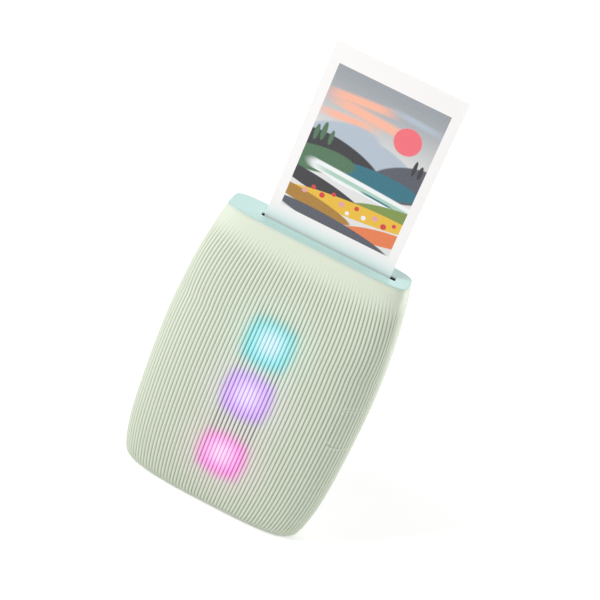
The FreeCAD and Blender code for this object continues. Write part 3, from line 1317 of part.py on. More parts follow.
def pressure_spring(x):
    """Bowed leaf spring on the door's liner that reaches the pressure plate through the pack."""
    foot_y = LINER_PLATE_FRONT_Y
    tip_y = PLATE_BACK_Y + PANEL_GAP
    middle = (SPRING_LOW + SPRING_HIGH) / 2
    left = x - SPRING_WIDTH / 2
    ends = [Vector(left, foot_y, z) for z in (SPRING_LOW, SPRING_HIGH)]
    outer = [ends[0], Vector(left, tip_y, middle), ends[1]]
    steps = (Z_AXIS, Y_AXIS, -Z_AXIS)
    inner = [p + step * SPRING_THICK for p, step in zip(outer, steps)]
    edges = [Part.Arc(*outer).toShape(), Part.LineSegment(outer[2], inner[2]).toShape(),
             Part.Arc(*reversed(inner)).toShape(), Part.LineSegment(inner[0], outer[0]).toShape()]
    bow = Part.Face(Part.Wire(edges)).extrude(X_AXIS * SPRING_WIDTH)
    foot = box(left, left + SPRING_WIDTH, foot_y - SPRING_THICK, foot_y, SPRING_LOW - SPRING_FOOT,
               SPRING_LOW + SPRING_THICK)
    return bow.fuse(foot).removeSplitter()


def pressure_springs():
    return [pressure_spring(FILM_X + side * PAD_SLOT_X) for side in (-1, 1)]


def light_seal():
    """Foam strips along both sides of the chamber, facing the door's liner."""
    back = LINER_PLATE_FRONT_Y - RUNNING_FIT
    left = box(CHASSIS_LEFT, FILM_X - CHAMBER_HALF, CHAMBER_BACK_Y, back, CHAMBER_LOW, CHAMBER_HIGH)
    right = box(FILM_X + CHAMBER_HALF, CHASSIS_RIGHT, CHAMBER_BACK_Y, back, CHAMBER_LOW, CHAMBER_HIGH)
    return [left, right]


def export(name, shape):
    solids = shape if isinstance(shape, list) else [shape]
    for solid in solids:
        if not solid.isValid() or len(solid.Solids) != 1:
            print("check", name, solid.isValid(), len(solid.Solids))
    Part.makeCompound([s for shape in solids for s in shape.Solids]).exportStep("parts/" + name + ".step")


def main():
    os.makedirs("parts", exist_ok=True)
    cores = {
        "ribbed": ribbed_front(),
        "outside": core(0, 0, SHELL_TOP),
        "inside": core(WALL, WALL, SHELL_TOP + CAP_THICK),
        "mid_wall": core(WALL / 2, WALL / 2, SHELL_TOP),
        "sunk": core(SLIT_SINK, SLIT_SINK, SHELL_TOP),
        "behind_wall": core(WALL + SEAT_FIT, WALL + SEAT_FIT, SHELL_TOP),
        "behind_rim": core(WALL + SEAT_FIT + BUTTON_RIM_THICK, WALL + SEAT_FIT, SHELL_TOP),
    }
    train = gear_train()
    idler_layers = ((0, 1), (1, 2), (2, 0))
    pinch_phase = meshed_phase(0.0, ROLLER_TEETH, 0.0, ROLLER_TEETH)
    pieces = {
        "front_shell": front_shell(cores),
        "back_shell": back_shell(cores),
        "case_screws": case_screws(),
        "top_cap": top_cap(),
        "slot_liner": slot_liner(),
        "print_sheet": print_sheet(),
        "print_picture": picture_box(),
        "film_stack": film_stack(),
        "pressure_plate": pressure_plate(),
        "film_pack": film_pack(),
        "chassis": chassis(),
        "chassis_screws": chassis_screws(),
        "small_screws": small_screws(),
        "pick_claw": pick_claw(),
        "roller_frame": roller_frame(),
        "roller_bushes": roller_bushes(),
        "drive_shaft": roller_shaft(DRIVE_Y),
        "drive_sleeve": roller_sleeve(DRIVE_Y),
        "drive_gear": roller_gear(DRIVE_Y, 0.0),
        "pinch_shaft": roller_shaft(PINCH_Y),
        "pinch_sleeve": roller_sleeve(PINCH_Y),
        "pinch_gear": roller_gear(PINCH_Y, pinch_phase),
        "gear_axles": gear_axles(train),
        "gear_plate": gear_plate(train),
        "plate_screws": plate_screws(),
        "motor": motor(train),
        "motor_pinion": motor_pinion(train),
        "exposure_head": exposure_head(),
        "lens_bar": lens_bar(),
        "main_board": main_board(),
        "board_parts": board_parts(),
        "light_emitters": light_emitters(),
        "light_baffle": light_baffle(),
        "light_diffusers": light_diffusers(),
        "battery_cell": battery_cell(),
        "head_ribbon": head_ribbon(),
        "cell_ribbon": cell_ribbon(),
        "power_button": power_button(cores),
        "status_lens": status_lens(cores),
        "switch_stem": switch_stem(),
        "power_switch": power_switch(),
        "switch_board": switch_board(),
        "charging_port": charging_port(),
        "charge_board": charge_board(),
        "reset_button": reset_button(),
        "reset_switch": reset_switch(),
        "film_door": film_door(cores),
        "door_liner": door_liner(),
        "door_window": door_window(cores),
        "door_hinge_pin": door_hinge_pin(),
        "door_lock": door_lock(),
        "pressure_springs": pressure_springs(),
        "light_seal": light_seal(),
    }
    for i, (small_layer, wheel_layer) in enumerate(idler_layers):
        pieces["reduction_gear_" + str(i + 1)] = compound_gear(train[i], small_layer, wheel_layer)
    for name, shape in pieces.items():
        export(name, shape)


main()
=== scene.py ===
# %% [markdown]
# # A compact photo printer, dressed for its picture
#
# The printer arrives as a set of finished mechanical parts that are already in the right place.
# This lesson gives them their looks: a finely ribbed casing with three lights glowing through it,
# a smooth cap, a film door at the back, and a glossy print half way out of the top.

# %% Load the parts
import bmesh
import bpy
import json
import math
import numpy as np
from mathutils import Matrix, Vector


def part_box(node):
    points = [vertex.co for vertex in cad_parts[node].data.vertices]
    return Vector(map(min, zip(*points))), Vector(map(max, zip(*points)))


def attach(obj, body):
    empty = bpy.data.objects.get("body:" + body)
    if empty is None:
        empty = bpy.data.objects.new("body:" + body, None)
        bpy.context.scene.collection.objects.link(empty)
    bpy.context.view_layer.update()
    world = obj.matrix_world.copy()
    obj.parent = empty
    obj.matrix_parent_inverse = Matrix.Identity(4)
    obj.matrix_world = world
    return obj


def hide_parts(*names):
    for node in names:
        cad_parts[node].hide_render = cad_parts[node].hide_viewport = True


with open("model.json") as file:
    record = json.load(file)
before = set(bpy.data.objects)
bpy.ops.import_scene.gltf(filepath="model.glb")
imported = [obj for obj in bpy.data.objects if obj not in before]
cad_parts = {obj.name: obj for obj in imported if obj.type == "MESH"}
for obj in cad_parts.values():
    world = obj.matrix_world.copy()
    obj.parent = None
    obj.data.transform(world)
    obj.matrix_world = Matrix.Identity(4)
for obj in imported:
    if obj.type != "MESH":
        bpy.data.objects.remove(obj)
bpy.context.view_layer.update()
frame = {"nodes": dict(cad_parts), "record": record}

nodes = frame["nodes"]

# %% [markdown]
# ## The body's shape as a formula
#
# The casing is a barrel. Every level of it is a superellipse, a rounded rectangle whose corners are
# set by a power, and its width and depth change gently with height. Writing the formula once gives
# each moulded piece the same surface, so the front, the back, the door and the cap meet without steps.
# The main sizes are read from the parts, and the rest are real lengths in metres.

# %% Sizes of the body
MM = 0.001
BODY_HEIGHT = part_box("top_cap")[1].z
SHELL_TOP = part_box("front_shell")[1].z
HALF_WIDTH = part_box("front_shell")[1].x
HALF_DEPTH = -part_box("front_shell")[0].y
SEAM_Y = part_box("front_shell")[1].y
TOP_HALF_WIDTH = 38.2 * MM
TOP_HALF_DEPTH = 8.3 * MM
BASE_HALF_WIDTH = 42.1 * MM
BASE_HALF_DEPTH = 14.0 * MM
WIDEST_Z = BODY_HEIGHT * 0.496
BASE_EDGE = 5.0 * MM
BASE_TUCK = 4.5 * MM
SIDE_TUCK_Z = 25.0 * MM
SIDE_TUCK = 3.8 * MM
CORNER_BLEND = 40.0 * MM
DEPTH_TAPER = 3.41
FRONT_POWER = 3.0
BACK_POWER = 4.5
TOP_POWER = 5.65
WALL = 1.8 * MM
FINE_STEPS = 3000


def tuck(z, height, amount):
    """How far the wall turns in under the body near the base."""
    if z >= height:
        return 0.0
    return amount * (1 - math.sqrt(1 - ((height - z) / height) ** 2))


def half_width(z):
    above = z > WIDEST_Z
    reach = BODY_HEIGHT - WIDEST_Z if above else WIDEST_Z
    end = TOP_HALF_WIDTH if above else BASE_HALF_WIDTH
    half = HALF_WIDTH - (HALF_WIDTH - end) * ((z - WIDEST_Z) / reach) ** 2
    return half - tuck(z, SIDE_TUCK_Z, SIDE_TUCK)


def half_depth(z):
    if z > WIDEST_Z:
        rise = ((z - WIDEST_Z) / (BODY_HEIGHT - WIDEST_Z)) ** DEPTH_TAPER
        return HALF_DEPTH - (HALF_DEPTH - TOP_HALF_DEPTH) * rise
    fall = ((WIDEST_Z - z) / WIDEST_Z) ** 2
    return HALF_DEPTH - (HALF_DEPTH - BASE_HALF_DEPTH) * fall - tuck(z, BASE_EDGE, BASE_TUCK)


def corner_power(z, at_back):
    blend = min(1.0, (BODY_HEIGHT - z) / CORNER_BLEND)
    return TOP_POWER * (1 - blend) + (BACK_POWER if at_back else FRONT_POWER) * blend


def outline_point(z, turn, inset=0.0):
    """Point on the body at one height; turn 0 is the right side, 0.25 the front, 0.5 the left."""
    angle = -2 * math.pi * turn
    power = 2 / corner_power(z, math.sin(angle) > 0)
    x = math.copysign(abs(math.cos(angle)) ** power, math.cos(angle))
    y = math.copysign(abs(math.sin(angle)) ** power, math.sin(angle))
    return Vector(((half_width(z) - inset) * x, (half_depth(z) - inset) * y, z))


def even_turns(z, shares):
    """Turns at given shares of the length of one level's front, from the right side to the left."""
    power = corner_power(z, False)
    wide, deep = half_width(z), half_depth(z)
    way = np.linspace(0.0, np.pi, FINE_STEPS + 1)
    reach = (np.abs(np.cos(way) / wide) ** power + np.abs(np.sin(way) / deep) ** power) ** (-1 / power)
    x, y = reach * np.cos(way), reach * np.sin(way)
    run = np.concatenate(([0.0], np.cumsum(np.hypot(np.diff(x), np.diff(y)))))
    way = np.interp(np.asarray(shares) * run[-1], run, way)
    angle = np.arctan2(np.abs(np.sin(way) / deep) ** (power / 2), np.abs(np.cos(way) / wide) ** (power / 2))
    return np.where(way < np.pi / 2, angle, np.pi - angle) / (2 * np.pi)


print("body in mm:", [round(v / MM, 1) for v in (2 * HALF_WIDTH, 2 * HALF_DEPTH, BODY_HEIGHT)])

# %% [markdown]
# ## Small helpers for meshes
#
# Most moulded pieces here are grids of points: a row of points for each height, joined into faces.
# `mesh_piece` makes an object from points and faces, and `carve` cuts one solid with another and
# keeps only the result, which is how openings get into the walls.

# %% Mesh helpers
SMOOTH_ANGLE = math.radians(32)


def shade(obj, angle=SMOOTH_ANGLE):
    """Smooth shading that still breaks at real edges."""
    obj.data.shade_smooth()
    obj.data.set_sharp_from_angle(angle=angle)
    return obj


def mesh_piece(name, points, faces, groove=None):
    """Mesh object; groove, if given, is a number for each point that materials can read."""
    mesh = bpy.data.meshes.new(name)
    mesh.from_pydata([tuple(p) for p in points], [], faces)
    if groove is not None:
        mesh.attributes.new("groove", "FLOAT", "POINT").data.foreach_set("value", groove)
    mesh.validate()
    mesh.update()
    obj = bpy.data.objects.new(name, mesh)
    bpy.context.scene.collection.objects.link(obj)
    return obj


def outward(obj):
    """Turns every face of a closed mesh to the outside."""
    bm = bmesh.new()
    bm.from_mesh(obj.data)
    bmesh.ops.recalc_face_normals(bm, faces=bm.faces)
    bm.to_mesh(obj.data)
    bm.free()
    return obj


def carve(obj, tool, operation="DIFFERENCE"):
    """Applies one Boolean cut, join or overlap and removes the tool."""
    step = obj.modifiers.new("carve", "BOOLEAN")
    step.object = tool
    step.operation = operation
    step.solver = "EXACT"
    graph = bpy.context.evaluated_depsgraph_get()
    mesh = bpy.data.meshes.new_from_object(obj.evaluated_get(graph))
    obj.modifiers.clear()
    obj.data = mesh
    bpy.data.objects.remove(tool)
    return obj


def rounded_outline(width, height, radius, steps=6):
    """Corner points of a rounded rectangle round zero, anticlockwise."""
    points = []
    for quarter, (sx, sy) in enumerate(((1, 1), (-1, 1), (-1, -1), (1, -1))):
        cx, cy = sx * (width / 2 - radius), sy * (height / 2 - radius)
        for i in range(steps + 1):
            angle = (quarter + i / steps) * math.pi / 2
            points.append((cx + radius * math.cos(angle), cy + radius * math.sin(angle)))
    return points


def prism(name, outline, origin, across, up, depth):
    """Straight block: a flat outline carried along the depth vector."""
    low = [origin + across * a + up * b for a, b in outline]
    high = [p + depth for p in low]
    n = len(outline)
    sides = [(i, (i + 1) % n, n + (i + 1) % n, n + i) for i in range(n)]
    return outward(mesh_piece(name, low + high, [tuple(range(n)), tuple(range(n, 2 * n))] + sides))


def block(name, low, high):
    """Plain box used as a cutting tool."""
    size = high - low
    outline = [(0, 0), (size.x, 0), (size.x, size.y), (0, size.y)]
    return prism(name, outline, low, Vector((1, 0, 0)), Vector((0, 1, 0)), Vector((0, 0, size.z)))


def walled(name, rows, inner_rows, groove=None):
    """Closed wall between an outer and an inner grid of points of the same size."""
    rows_n, cols = len(rows), len(rows[0])
    points = [p for row in rows for p in row] + [p for row in inner_rows for p in row]
    shift = rows_n * cols
    faces = []
    for k in range(rows_n - 1):
        for j in range(cols - 1):
            a = k * cols + j
            faces.append((a, a + 1, a + cols + 1, a + cols))
            b = a + shift
            faces.append((b, b + cols, b + cols + 1, b + 1))
    last = (rows_n - 1) * cols
    for j in range(cols - 1):
        faces.append((last + j, last + j + 1, shift + last + j + 1, shift + last + j))
    for k in range(rows_n - 1):
        for j in (0, cols - 1):
            a = k * cols + j
            faces.append((a, a + cols, shift + a + cols, shift + a))
    faces.append(tuple(range(cols)))
    faces.append(tuple(range(shift, shift + cols)))
    faces.append((0, cols - 1, shift + cols - 1, shift))
    return outward(mesh_piece(name, points, faces, groove))


X, Y, Z = Vector((1, 0, 0)), Vector((0, 1, 0)), Vector((0, 0, 1))

# %% [markdown]
# ## Camera
#
# The photograph was taken with a long lens from a little above and to the right, and the camera was
# rolled, so the printer leans in the frame. The roll is part of the camera, and the printer itself
# stands straight.

# %% Camera
FRAME_PIXELS = 600
FOCAL_PIXELS = 1900.65
SENSOR_MM = 36.0
CAMERA_TURN = math.radians(6.53)
CAMERA_RISE = math.radians(28.07)
CAMERA_ROLL = math.radians(23.65)
CAMERA_PLACE = Vector((76.4, -650.9, 447.1)) * MM

back = Vector((math.sin(CAMERA_TURN) * math.cos(CAMERA_RISE),
               -math.cos(CAMERA_TURN) * math.cos(CAMERA_RISE), math.sin(CAMERA_RISE)))
level_right = Z.cross(back).normalized()
level_up = back.cross(level_right)
right = level_right * math.cos(CAMERA_ROLL) + level_up * math.sin(CAMERA_ROLL)
up = level_up * math.cos(CAMERA_ROLL) - level_right * math.sin(CAMERA_ROLL)

camera_data = bpy.data.cameras.new("camera")
camera_data.sensor_width = SENSOR_MM
camera_data.lens = FOCAL_PIXELS / FRAME_PIXELS * SENSOR_MM
camera = bpy.data.objects.new("camera", camera_data)
camera.matrix_world = Matrix.Translation(CAMERA_PLACE) @ Matrix((right, up, back)).transposed().to_4x4()
bpy.context.scene.collection.objects.link(camera)
bpy.context.scene.camera = camera
print("lens:", round(camera_data.lens, 2), "mm")

# %% [markdown]
# ## The ribbed front
#
# The front moulding carries 66 upright ribs of about 1.8 mm that fade out into a smooth band under
# the cap. Bump alone would leave the outline smooth, so the ribs are real geometry: each rib is a
# small rounded wave on the outline, and the wave's depth fades with height. How deep each point lies
# is stored on the mesh, so that the plastic can be darkened in the grooves later with painted shade.

# %% Ribs
RIB_COUNT = 66
RIB_DEPTH = 0.42 * MM
RIB_START = 1.0 * MM
RIB_FULL = 2.4 * MM
RIB_FADE_LOW = 110.0 * MM
RIB_FADE_HIGH = 121.6 * MM
WAVE_STEPS = 10
CREST_SHARPNESS = 0.72
SEAM_CHAMFER = 0.16 * MM
LEVEL_STEP = 2.2 * MM
BASE_LEVELS = 9


def body_levels(top):
    """Heights from the base to top, close together where the base edge is rounded."""
    base = [BASE_EDGE * (1 - math.cos(math.pi / 2 * i / BASE_LEVELS)) for i in range(BASE_LEVELS)]
    count = math.ceil((top - BASE_EDGE) / LEVEL_STEP)
    return base + [BASE_EDGE + (top - BASE_EDGE) * i / count for i in range(count + 1)]


def seam_turn(z, inset, side):
    """Turn at which the outline crosses the seam plane, on the right (1) or the left (-1)."""
    power = corner_power(z, True)
    angle = math.asin(min(1.0, SEAM_Y / (half_depth(z) - inset)) ** (power / 2))
    return 1 - angle / (2 * math.pi) if side > 0 else 0.5 + angle / (2 * math.pi)


def rib_amount(z):
    rise = min(1.0, max(0.0, (z - RIB_START) / (RIB_FULL - RIB_START)))
    fade = min(1.0, max(0.0, (RIB_FADE_HIGH - z) / (RIB_FADE_HIGH - RIB_FADE_LOW)))
    return rise * fade * fade * (3 - 2 * fade)


wave_shares = []
wave_depths = []
for rib in range(RIB_COUNT):
    for i in range(WAVE_STEPS):
        share = (1 - math.cos(math.pi * i / WAVE_STEPS)) / 2
        wave_shares.append((rib + share) / RIB_COUNT)
        wave_depths.append(1 - math.sin(math.pi * share) ** CREST_SHARPNESS)
wave_shares.append(1.0)
wave_depths.append(1.0)


def front_row(z, inset, ribbed):
    """One level of the front moulding from the right seam round to the left seam."""
    chamfer = SEAM_CHAMFER if ribbed else 0.0
    ends = [outline_point(z, seam_turn(z, inset, side), inset + chamfer) for side in (1, -1)]
    depth = RIB_DEPTH * rib_amount(z) if ribbed else 0.0
    turns = even_turns(z, wave_shares)
    ribs = [outline_point(z, t, inset + depth * d) for t, d in zip(turns, wave_depths)]
    for end in ends:
        end.y = SEAM_Y
    return [ends[0]] + ribs + [ends[1]]


def front_solid(name):
    """The whole ribbed moulding before its openings are cut."""
    heights = body_levels(SHELL_TOP)
    squeeze = (SHELL_TOP - WALL) / SHELL_TOP
    outer = [front_row(z, 0.0, True) for z in heights]
    inner = [front_row(WALL + z * squeeze, WALL, False) for z in heights]
    groove = [d * rib_amount(z) for z in heights for d in [0.0] + wave_depths + [0.0]]
    return walled(name, outer, inner, groove + [0.0] * len(groove))


front = front_solid("front_moulding")
print("front moulding:", len(front.data.polygons), "faces before the openings")

# %% [markdown]
# ## Button, port and reset openings
#
# The large side button lies flush in the ribbed wall, and its ribs run on from the wall around it.
# It is therefore cut out of a second copy of the same moulding: whatever lies inside the rounded
# rectangle becomes the button, and the wall loses the same shape plus a hairline gap.

# %% Side openings
BUTTON_PLACE = Vector((40.6, -7.0, 61.65)) * MM
BUTTON_ANGLE = math.radians(-30.4)
BUTTON_WIDTH = 17.4 * MM
BUTTON_HEIGHT = 18.7 * MM
BUTTON_CORNER = 2.5 * MM
BUTTON_GAP = 0.2 * MM
SLIT_OFFSET = 5.2 * MM
SLIT_WIDTH = 0.9 * MM
SLIT_HEIGHT = 9.0 * MM
SLIT_Z = 61.3 * MM
CUT_REACH = 9.0 * MM
CUT_ROOT = 5.0 * MM

press_out = Vector((math.cos(BUTTON_ANGLE), math.sin(BUTTON_ANGLE), 0))
press_side = Vector((-math.sin(BUTTON_ANGLE), math.cos(BUTTON_ANGLE), 0))


def button_block(name, margin):
    outline = rounded_outline(BUTTON_WIDTH + 2 * margin, BUTTON_HEIGHT + 2 * margin, BUTTON_CORNER + margin)
    return prism(name, outline, BUTTON_PLACE - press_out * CUT_ROOT, press_side, Z,
                 press_out * (CUT_ROOT + CUT_REACH))


def slit_block(name):
    place = Vector((BUTTON_PLACE.x, BUTTON_PLACE.y, SLIT_Z)) + press_side * SLIT_OFFSET
    outline = rounded_outline(SLIT_WIDTH, SLIT_HEIGHT, SLIT_WIDTH / 3)
    return prism(name, outline, place - press_out * CUT_ROOT, press_side, Z,
                 press_out * (CUT_ROOT + CUT_REACH))


button = front.copy()
button.data = front.data.copy()
button.name = "side_button"
bpy.context.scene.collection.objects.link(button)
carve(button, button_block("button_tool", 0.0), "INTERSECT")
carve(button, slit_block("slit_tool"))
carve(front, button_block("wall_tool", BUTTON_GAP))

port_low, port_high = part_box("charging_port")
PORT_RIM = 0.4 * MM
port_mid = (port_low + port_high) / 2
port_size = port_high - port_low + Vector((0, 2 * PORT_RIM, 2 * PORT_RIM))
port_outline = rounded_outline(port_size.y, port_size.z, port_size.y / 2 - 0.1 * MM)
port_place = Vector((-HALF_WIDTH, port_mid.y, port_mid.z))
carve(front, prism("port_tool", port_outline, port_place, Y, Z, X * CUT_REACH))

RESET_PLACE = Vector((-45.0, -0.2, 45.0)) * MM
RESET_RADIUS = 1.2 * MM
ring = rounded_outline(2 * RESET_RADIUS, 2 * RESET_RADIUS, RESET_RADIUS)
carve(front, prism("reset_tool", ring, RESET_PLACE, Y, Z, X * CUT_REACH))
print("front:", len(front.data.polygons), "faces, button:", len(button.data.polygons))

# %% [markdown]
# ## Front pieces in place
#
# The front and the button now stand for the plainer parts of the same shape. The button rides with the
# power key, so it sinks into the wall when pressed, and the gap round it draws its outline.

# %% Place the front pieces
for piece, node, body in ((front, "front_shell", "casing"), (button, "power_button", "power_key")):
    piece.data.materials.clear()
    shade(piece)
    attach(piece, body)
    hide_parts(node)

# %% [markdown]
# ## Smooth back and film door
#
# The back is smooth. The parts below already have the walls, the hinge and the ledges, and they are
# built from flat facets. A thin outer skin that follows the formula exactly is laid over them, and it
# is cut along the same edges, so the door and the back read as one continuous curve.

# %% Back skins
SKIN = 0.9 * MM
SKIN_TURNS = 110
EDGE_BREAK = 0.05 * MM
DOOR_GAP = 0.3 * MM
door_low, door_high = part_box("film_door")
hinge_low, hinge_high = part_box("door_hinge_pin")
DOOR_LOW = 11.3 * MM
LEDGE_Y = 7.2 * MM
FAR = 0.1
NOTCH_HALF = 29.5 * MM
NOTCH_LOW = (hinge_low.z + hinge_high.z) / 2 - 1.6 * MM


def back_row(z, inset, chamfer):
    """One level of the smooth back from the left seam round to the right seam."""
    first, last = seam_turn(z, inset, -1), seam_turn(z, inset, 1)
    row = []
    for i in range(SKIN_TURNS + 1):
        at_end = i in (0, SKIN_TURNS)
        turn = first + (last - first) * i / SKIN_TURNS
        point = outline_point(z, turn, inset + (chamfer if at_end else 0.0))
        if at_end:
            point.y = SEAM_Y
        row.append(point)
    return row


def back_solid(name):
    heights = body_levels(SHELL_TOP)
    squeeze = (SHELL_TOP - SKIN) / SHELL_TOP
    outer = [back_row(z, 0.0, SEAM_CHAMFER) for z in heights]
    inner = [back_row(SKIN + z * squeeze, SKIN, 0.0) for z in heights]
    return walled(name, outer, inner)


back_skin = back_solid("back_moulding")
door_skin = back_skin.copy()
door_skin.data = back_skin.data.copy()
door_skin.name = "door_moulding"
bpy.context.scene.collection.objects.link(door_skin)

gap = DOOR_GAP + EDGE_BREAK
carve(back_skin, block("opening_tool", Vector((door_low.x - gap, LEDGE_Y, DOOR_LOW - gap)),
                       Vector((door_high.x + gap, FAR, door_high.z + gap))))
carve(back_skin, block("notch_tool", Vector((-NOTCH_HALF, LEDGE_Y, NOTCH_LOW)),
                       Vector((NOTCH_HALF, FAR, DOOR_LOW))))
carve(door_skin, block("door_tool", Vector((door_low.x - EDGE_BREAK, LEDGE_Y, DOOR_LOW - EDGE_BREAK)),
                       Vector((door_high.x + EDGE_BREAK, FAR, door_high.z + EDGE_BREAK))), "INTERSECT")

WINDOW_PLACE = Vector((-18.0, 0.0, 62.0)) * MM
WINDOW_WIDTH = 5.0 * MM
WINDOW_HEIGHT = 13.0 * MM
WINDOW_CORNER = 1.6 * MM
window = rounded_outline(WINDOW_WIDTH, WINDOW_HEIGHT, WINDOW_CORNER)
carve(door_skin, prism("window_tool", window, WINDOW_PLACE, X, Z, Y * FAR))

LOCK_POST_HALF = 3.2 * MM
LOCK_POST_LOW = 102.8 * MM
LOCK_POST_HIGH = 108.7 * MM
carve(door_skin, block("lock_tool", Vector((-LOCK_POST_HALF, LEDGE_Y, LOCK_POST_LOW)),
                       Vector((LOCK_POST_HALF, FAR, LOCK_POST_HIGH))))

for piece, body in ((back_skin, "casing"), (door_skin, "film_door_leaf")):
    shade(piece)
    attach(piece, body)
print("back:", len(back_skin.data.polygons), "door:", len(door_skin.data.polygons), "faces")

# %% [markdown]
# ## Cap
#
# The cap is a thin flat lid with a softly rounded rim, and a plug below that centres it in the
# casing. A stack of outlines makes the lid, and the film slot is cut through it afterwards.

# %% Cap
CAP_ROUND = 0.5 * MM
CAP_POINTS = 160
CAP_PLUG = 1.5 * MM
PLUG_INSET = 1.9 * MM
ROUND_STEPS = 5
SLOT_LENGTH = 57.6 * MM
SLOT_WIDTH = 2.8 * MM
liner_low, liner_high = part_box("slot_liner")
slot_x = (liner_low.x + liner_high.x) / 2
slot_y = (liner_low.y + liner_high.y) / 2

profile = [(SHELL_TOP - CAP_PLUG, PLUG_INSET), (SHELL_TOP, PLUG_INSET), (SHELL_TOP, SEAM_CHAMFER),
           (SHELL_TOP + SEAM_CHAMFER, 0.0)]
for i in range(ROUND_STEPS + 1):
    angle = math.pi / 2 * i / ROUND_STEPS
    profile.append((BODY_HEIGHT - CAP_ROUND * (1 - math.sin(angle)), CAP_ROUND * (1 - math.cos(angle))))
rings = [[outline_point(z, i / CAP_POINTS, inset) for i in range(CAP_POINTS)] for z, inset in profile]
cap_faces = [tuple(range(CAP_POINTS)), tuple(range((len(rings) - 1) * CAP_POINTS, len(rings) * CAP_POINTS))]
for k in range(len(rings) - 1):
    for j in range(CAP_POINTS):
        a, b = k * CAP_POINTS + j, k * CAP_POINTS + (j + 1) % CAP_POINTS
        cap_faces.append((a, b, b + CAP_POINTS, a + CAP_POINTS))
cap = outward(mesh_piece("cap_lid", [p for ring in rings for p in ring], cap_faces))
slot = rounded_outline(SLOT_LENGTH, SLOT_WIDTH, SLOT_WIDTH / 4)
carve(cap, prism("slot_tool", slot, Vector((slot_x, slot_y, 0)), X, Y, Z * (BODY_HEIGHT + FAR)))
well_half = (liner_high - liner_low) / 2 + Vector((0.1, 0.1, 0)) * MM
carve(cap, block("well_tool", Vector((slot_x - well_half.x, slot_y - well_half.y, 0)),
                 Vector((slot_x + well_half.x, slot_y + well_half.y, liner_high.z))))
shade(cap)
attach(cap, "casing")
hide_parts("top_cap")
print("cap:", len(cap.data.polygons), "faces")

# %% [markdown]
# ## Shader helpers
#
# Colours are picked as everyday 0 to 255 values and turned into the linear values that shaders use.
# `Tree` is a thin wrapper that adds nodes and links with little typing. Effects that several
# materials share live in node groups with named sockets.

# %% Shader helpers


def colour(r, g, b):
    """Linear colour, with alpha, from everyday 0 to 255 values."""
    def linear(v):
        v /= 255
        return v / 12.92 if v <= 0.04045 else ((v + 0.055) / 1.055) ** 2.4
    return (linear(r), linear(g), linear(b), 1.0)


class Tree:
    """Adds nodes to a node tree; a value given to a socket may be a number or another socket."""

    def __init__(self, tree):
        self.tree = tree

    def add(self, kind, settings=None, **sockets):
        node = self.tree.nodes.new(kind)
        for key, value in (settings or {}).items():
            setattr(node, key, value)
        for key, value in sockets.items():
            self.feed(node.inputs[int(key[1:]) if key[0] == "i" and key[1:].isdigit() else
                                  key.replace("_", " ")], value)
        return node

    def feed(self, socket, value):
        if isinstance(value, bpy.types.NodeSocket):
            self.tree.links.new(value, socket)
        else:
            socket.default_value = value

    def math(self, operation, a, b=0.0, clamp=False):
        return self.add("ShaderNodeMath", {"operation": operation, "use_clamp": clamp}, i0=a, i1=b).outputs[0]

    def mix(self, factor, a, b, blend="MIX"):
        node = self.add("ShaderNodeMix", {"data_type": "RGBA", "blend_type": blend}, i0=factor)
        self.feed(node.inputs[6], a)
        self.feed(node.inputs[7], b)
        return node.outputs[2]

    def span(self, value, low, high, to_low=0.0, to_high=1.0):
        node = self.add("ShaderNodeMapRange", {"interpolation_type": "SMOOTHSTEP"}, i0=value)
        for i, v in enumerate((low, high, to_low, to_high)):
            node.inputs[i + 1].default_value = v
        return node.outputs[0]


def new_group(name, inputs, outputs):
    """Empty node group with named sockets; returns the group, its Tree and its two end nodes."""
    group = bpy.data.node_groups.new(name, "ShaderNodeTree")
    for label, kind, value in inputs:
        socket = group.interface.new_socket(name=label, in_out="INPUT", socket_type="NodeSocket" + kind)
        if value is not None:
            socket.default_value = value
    for label, kind in outputs:
        group.interface.new_socket(name=label, in_out="OUTPUT", socket_type="NodeSocket" + kind)
    tree = Tree(group)
    return group, tree, tree.add("NodeGroupInput"), tree.add("NodeGroupOutput")


# %% [markdown]
# ## Shared effects
#
# *Moulded grain* is the faint texture of injection-moulded plastic: a fine spark-eroded grain in the
# height, slow patches in the gloss, and a very slight drift of the colour. *Drawn metal* gives sheet
# steel and turned brass their fine lines. *Soft shape* is an oval or a rounded bar with a soft edge,
# which the print uses for its picture and the casing uses for its lights.

# %% Node groups
grain_group, t, g_in, g_out = new_group(
    "moulded grain",
    [("Vector", "Vector", None), ("Colour", "Color", (1, 1, 1, 1)), ("Scale", "Float", 900.0),
     ("Drift", "Float", 0.04), ("Roughness", "Float", 0.5)],
    [("Colour", "Color"), ("Roughness", "Float"), ("Height", "Float")])
fine = t.add("ShaderNodeTexNoise", {"noise_dimensions": "3D"}, Vector=g_in.outputs["Vector"],
             Scale=g_in.outputs["Scale"], Detail=3.0).outputs[0]
slow = t.add("ShaderNodeTexNoise", None, Vector=g_in.outputs["Vector"], Scale=38.0, Detail=2.0).outputs[0]
shift = t.math("MULTIPLY", t.math("SUBTRACT", slow, 0.5), g_in.outputs["Drift"])
tint = t.math("ADD", 1.0, shift)
value = t.add("ShaderNodeHueSaturation", None, Color=g_in.outputs["Colour"], Value=tint).outputs[0]
rough = t.math("ADD", g_in.outputs["Roughness"], t.math("MULTIPLY", t.math("SUBTRACT", slow, 0.5), 0.18))
t.feed(g_out.inputs["Colour"], value)
t.feed(g_out.inputs["Roughness"], rough)
t.feed(g_out.inputs["Height"], fine)

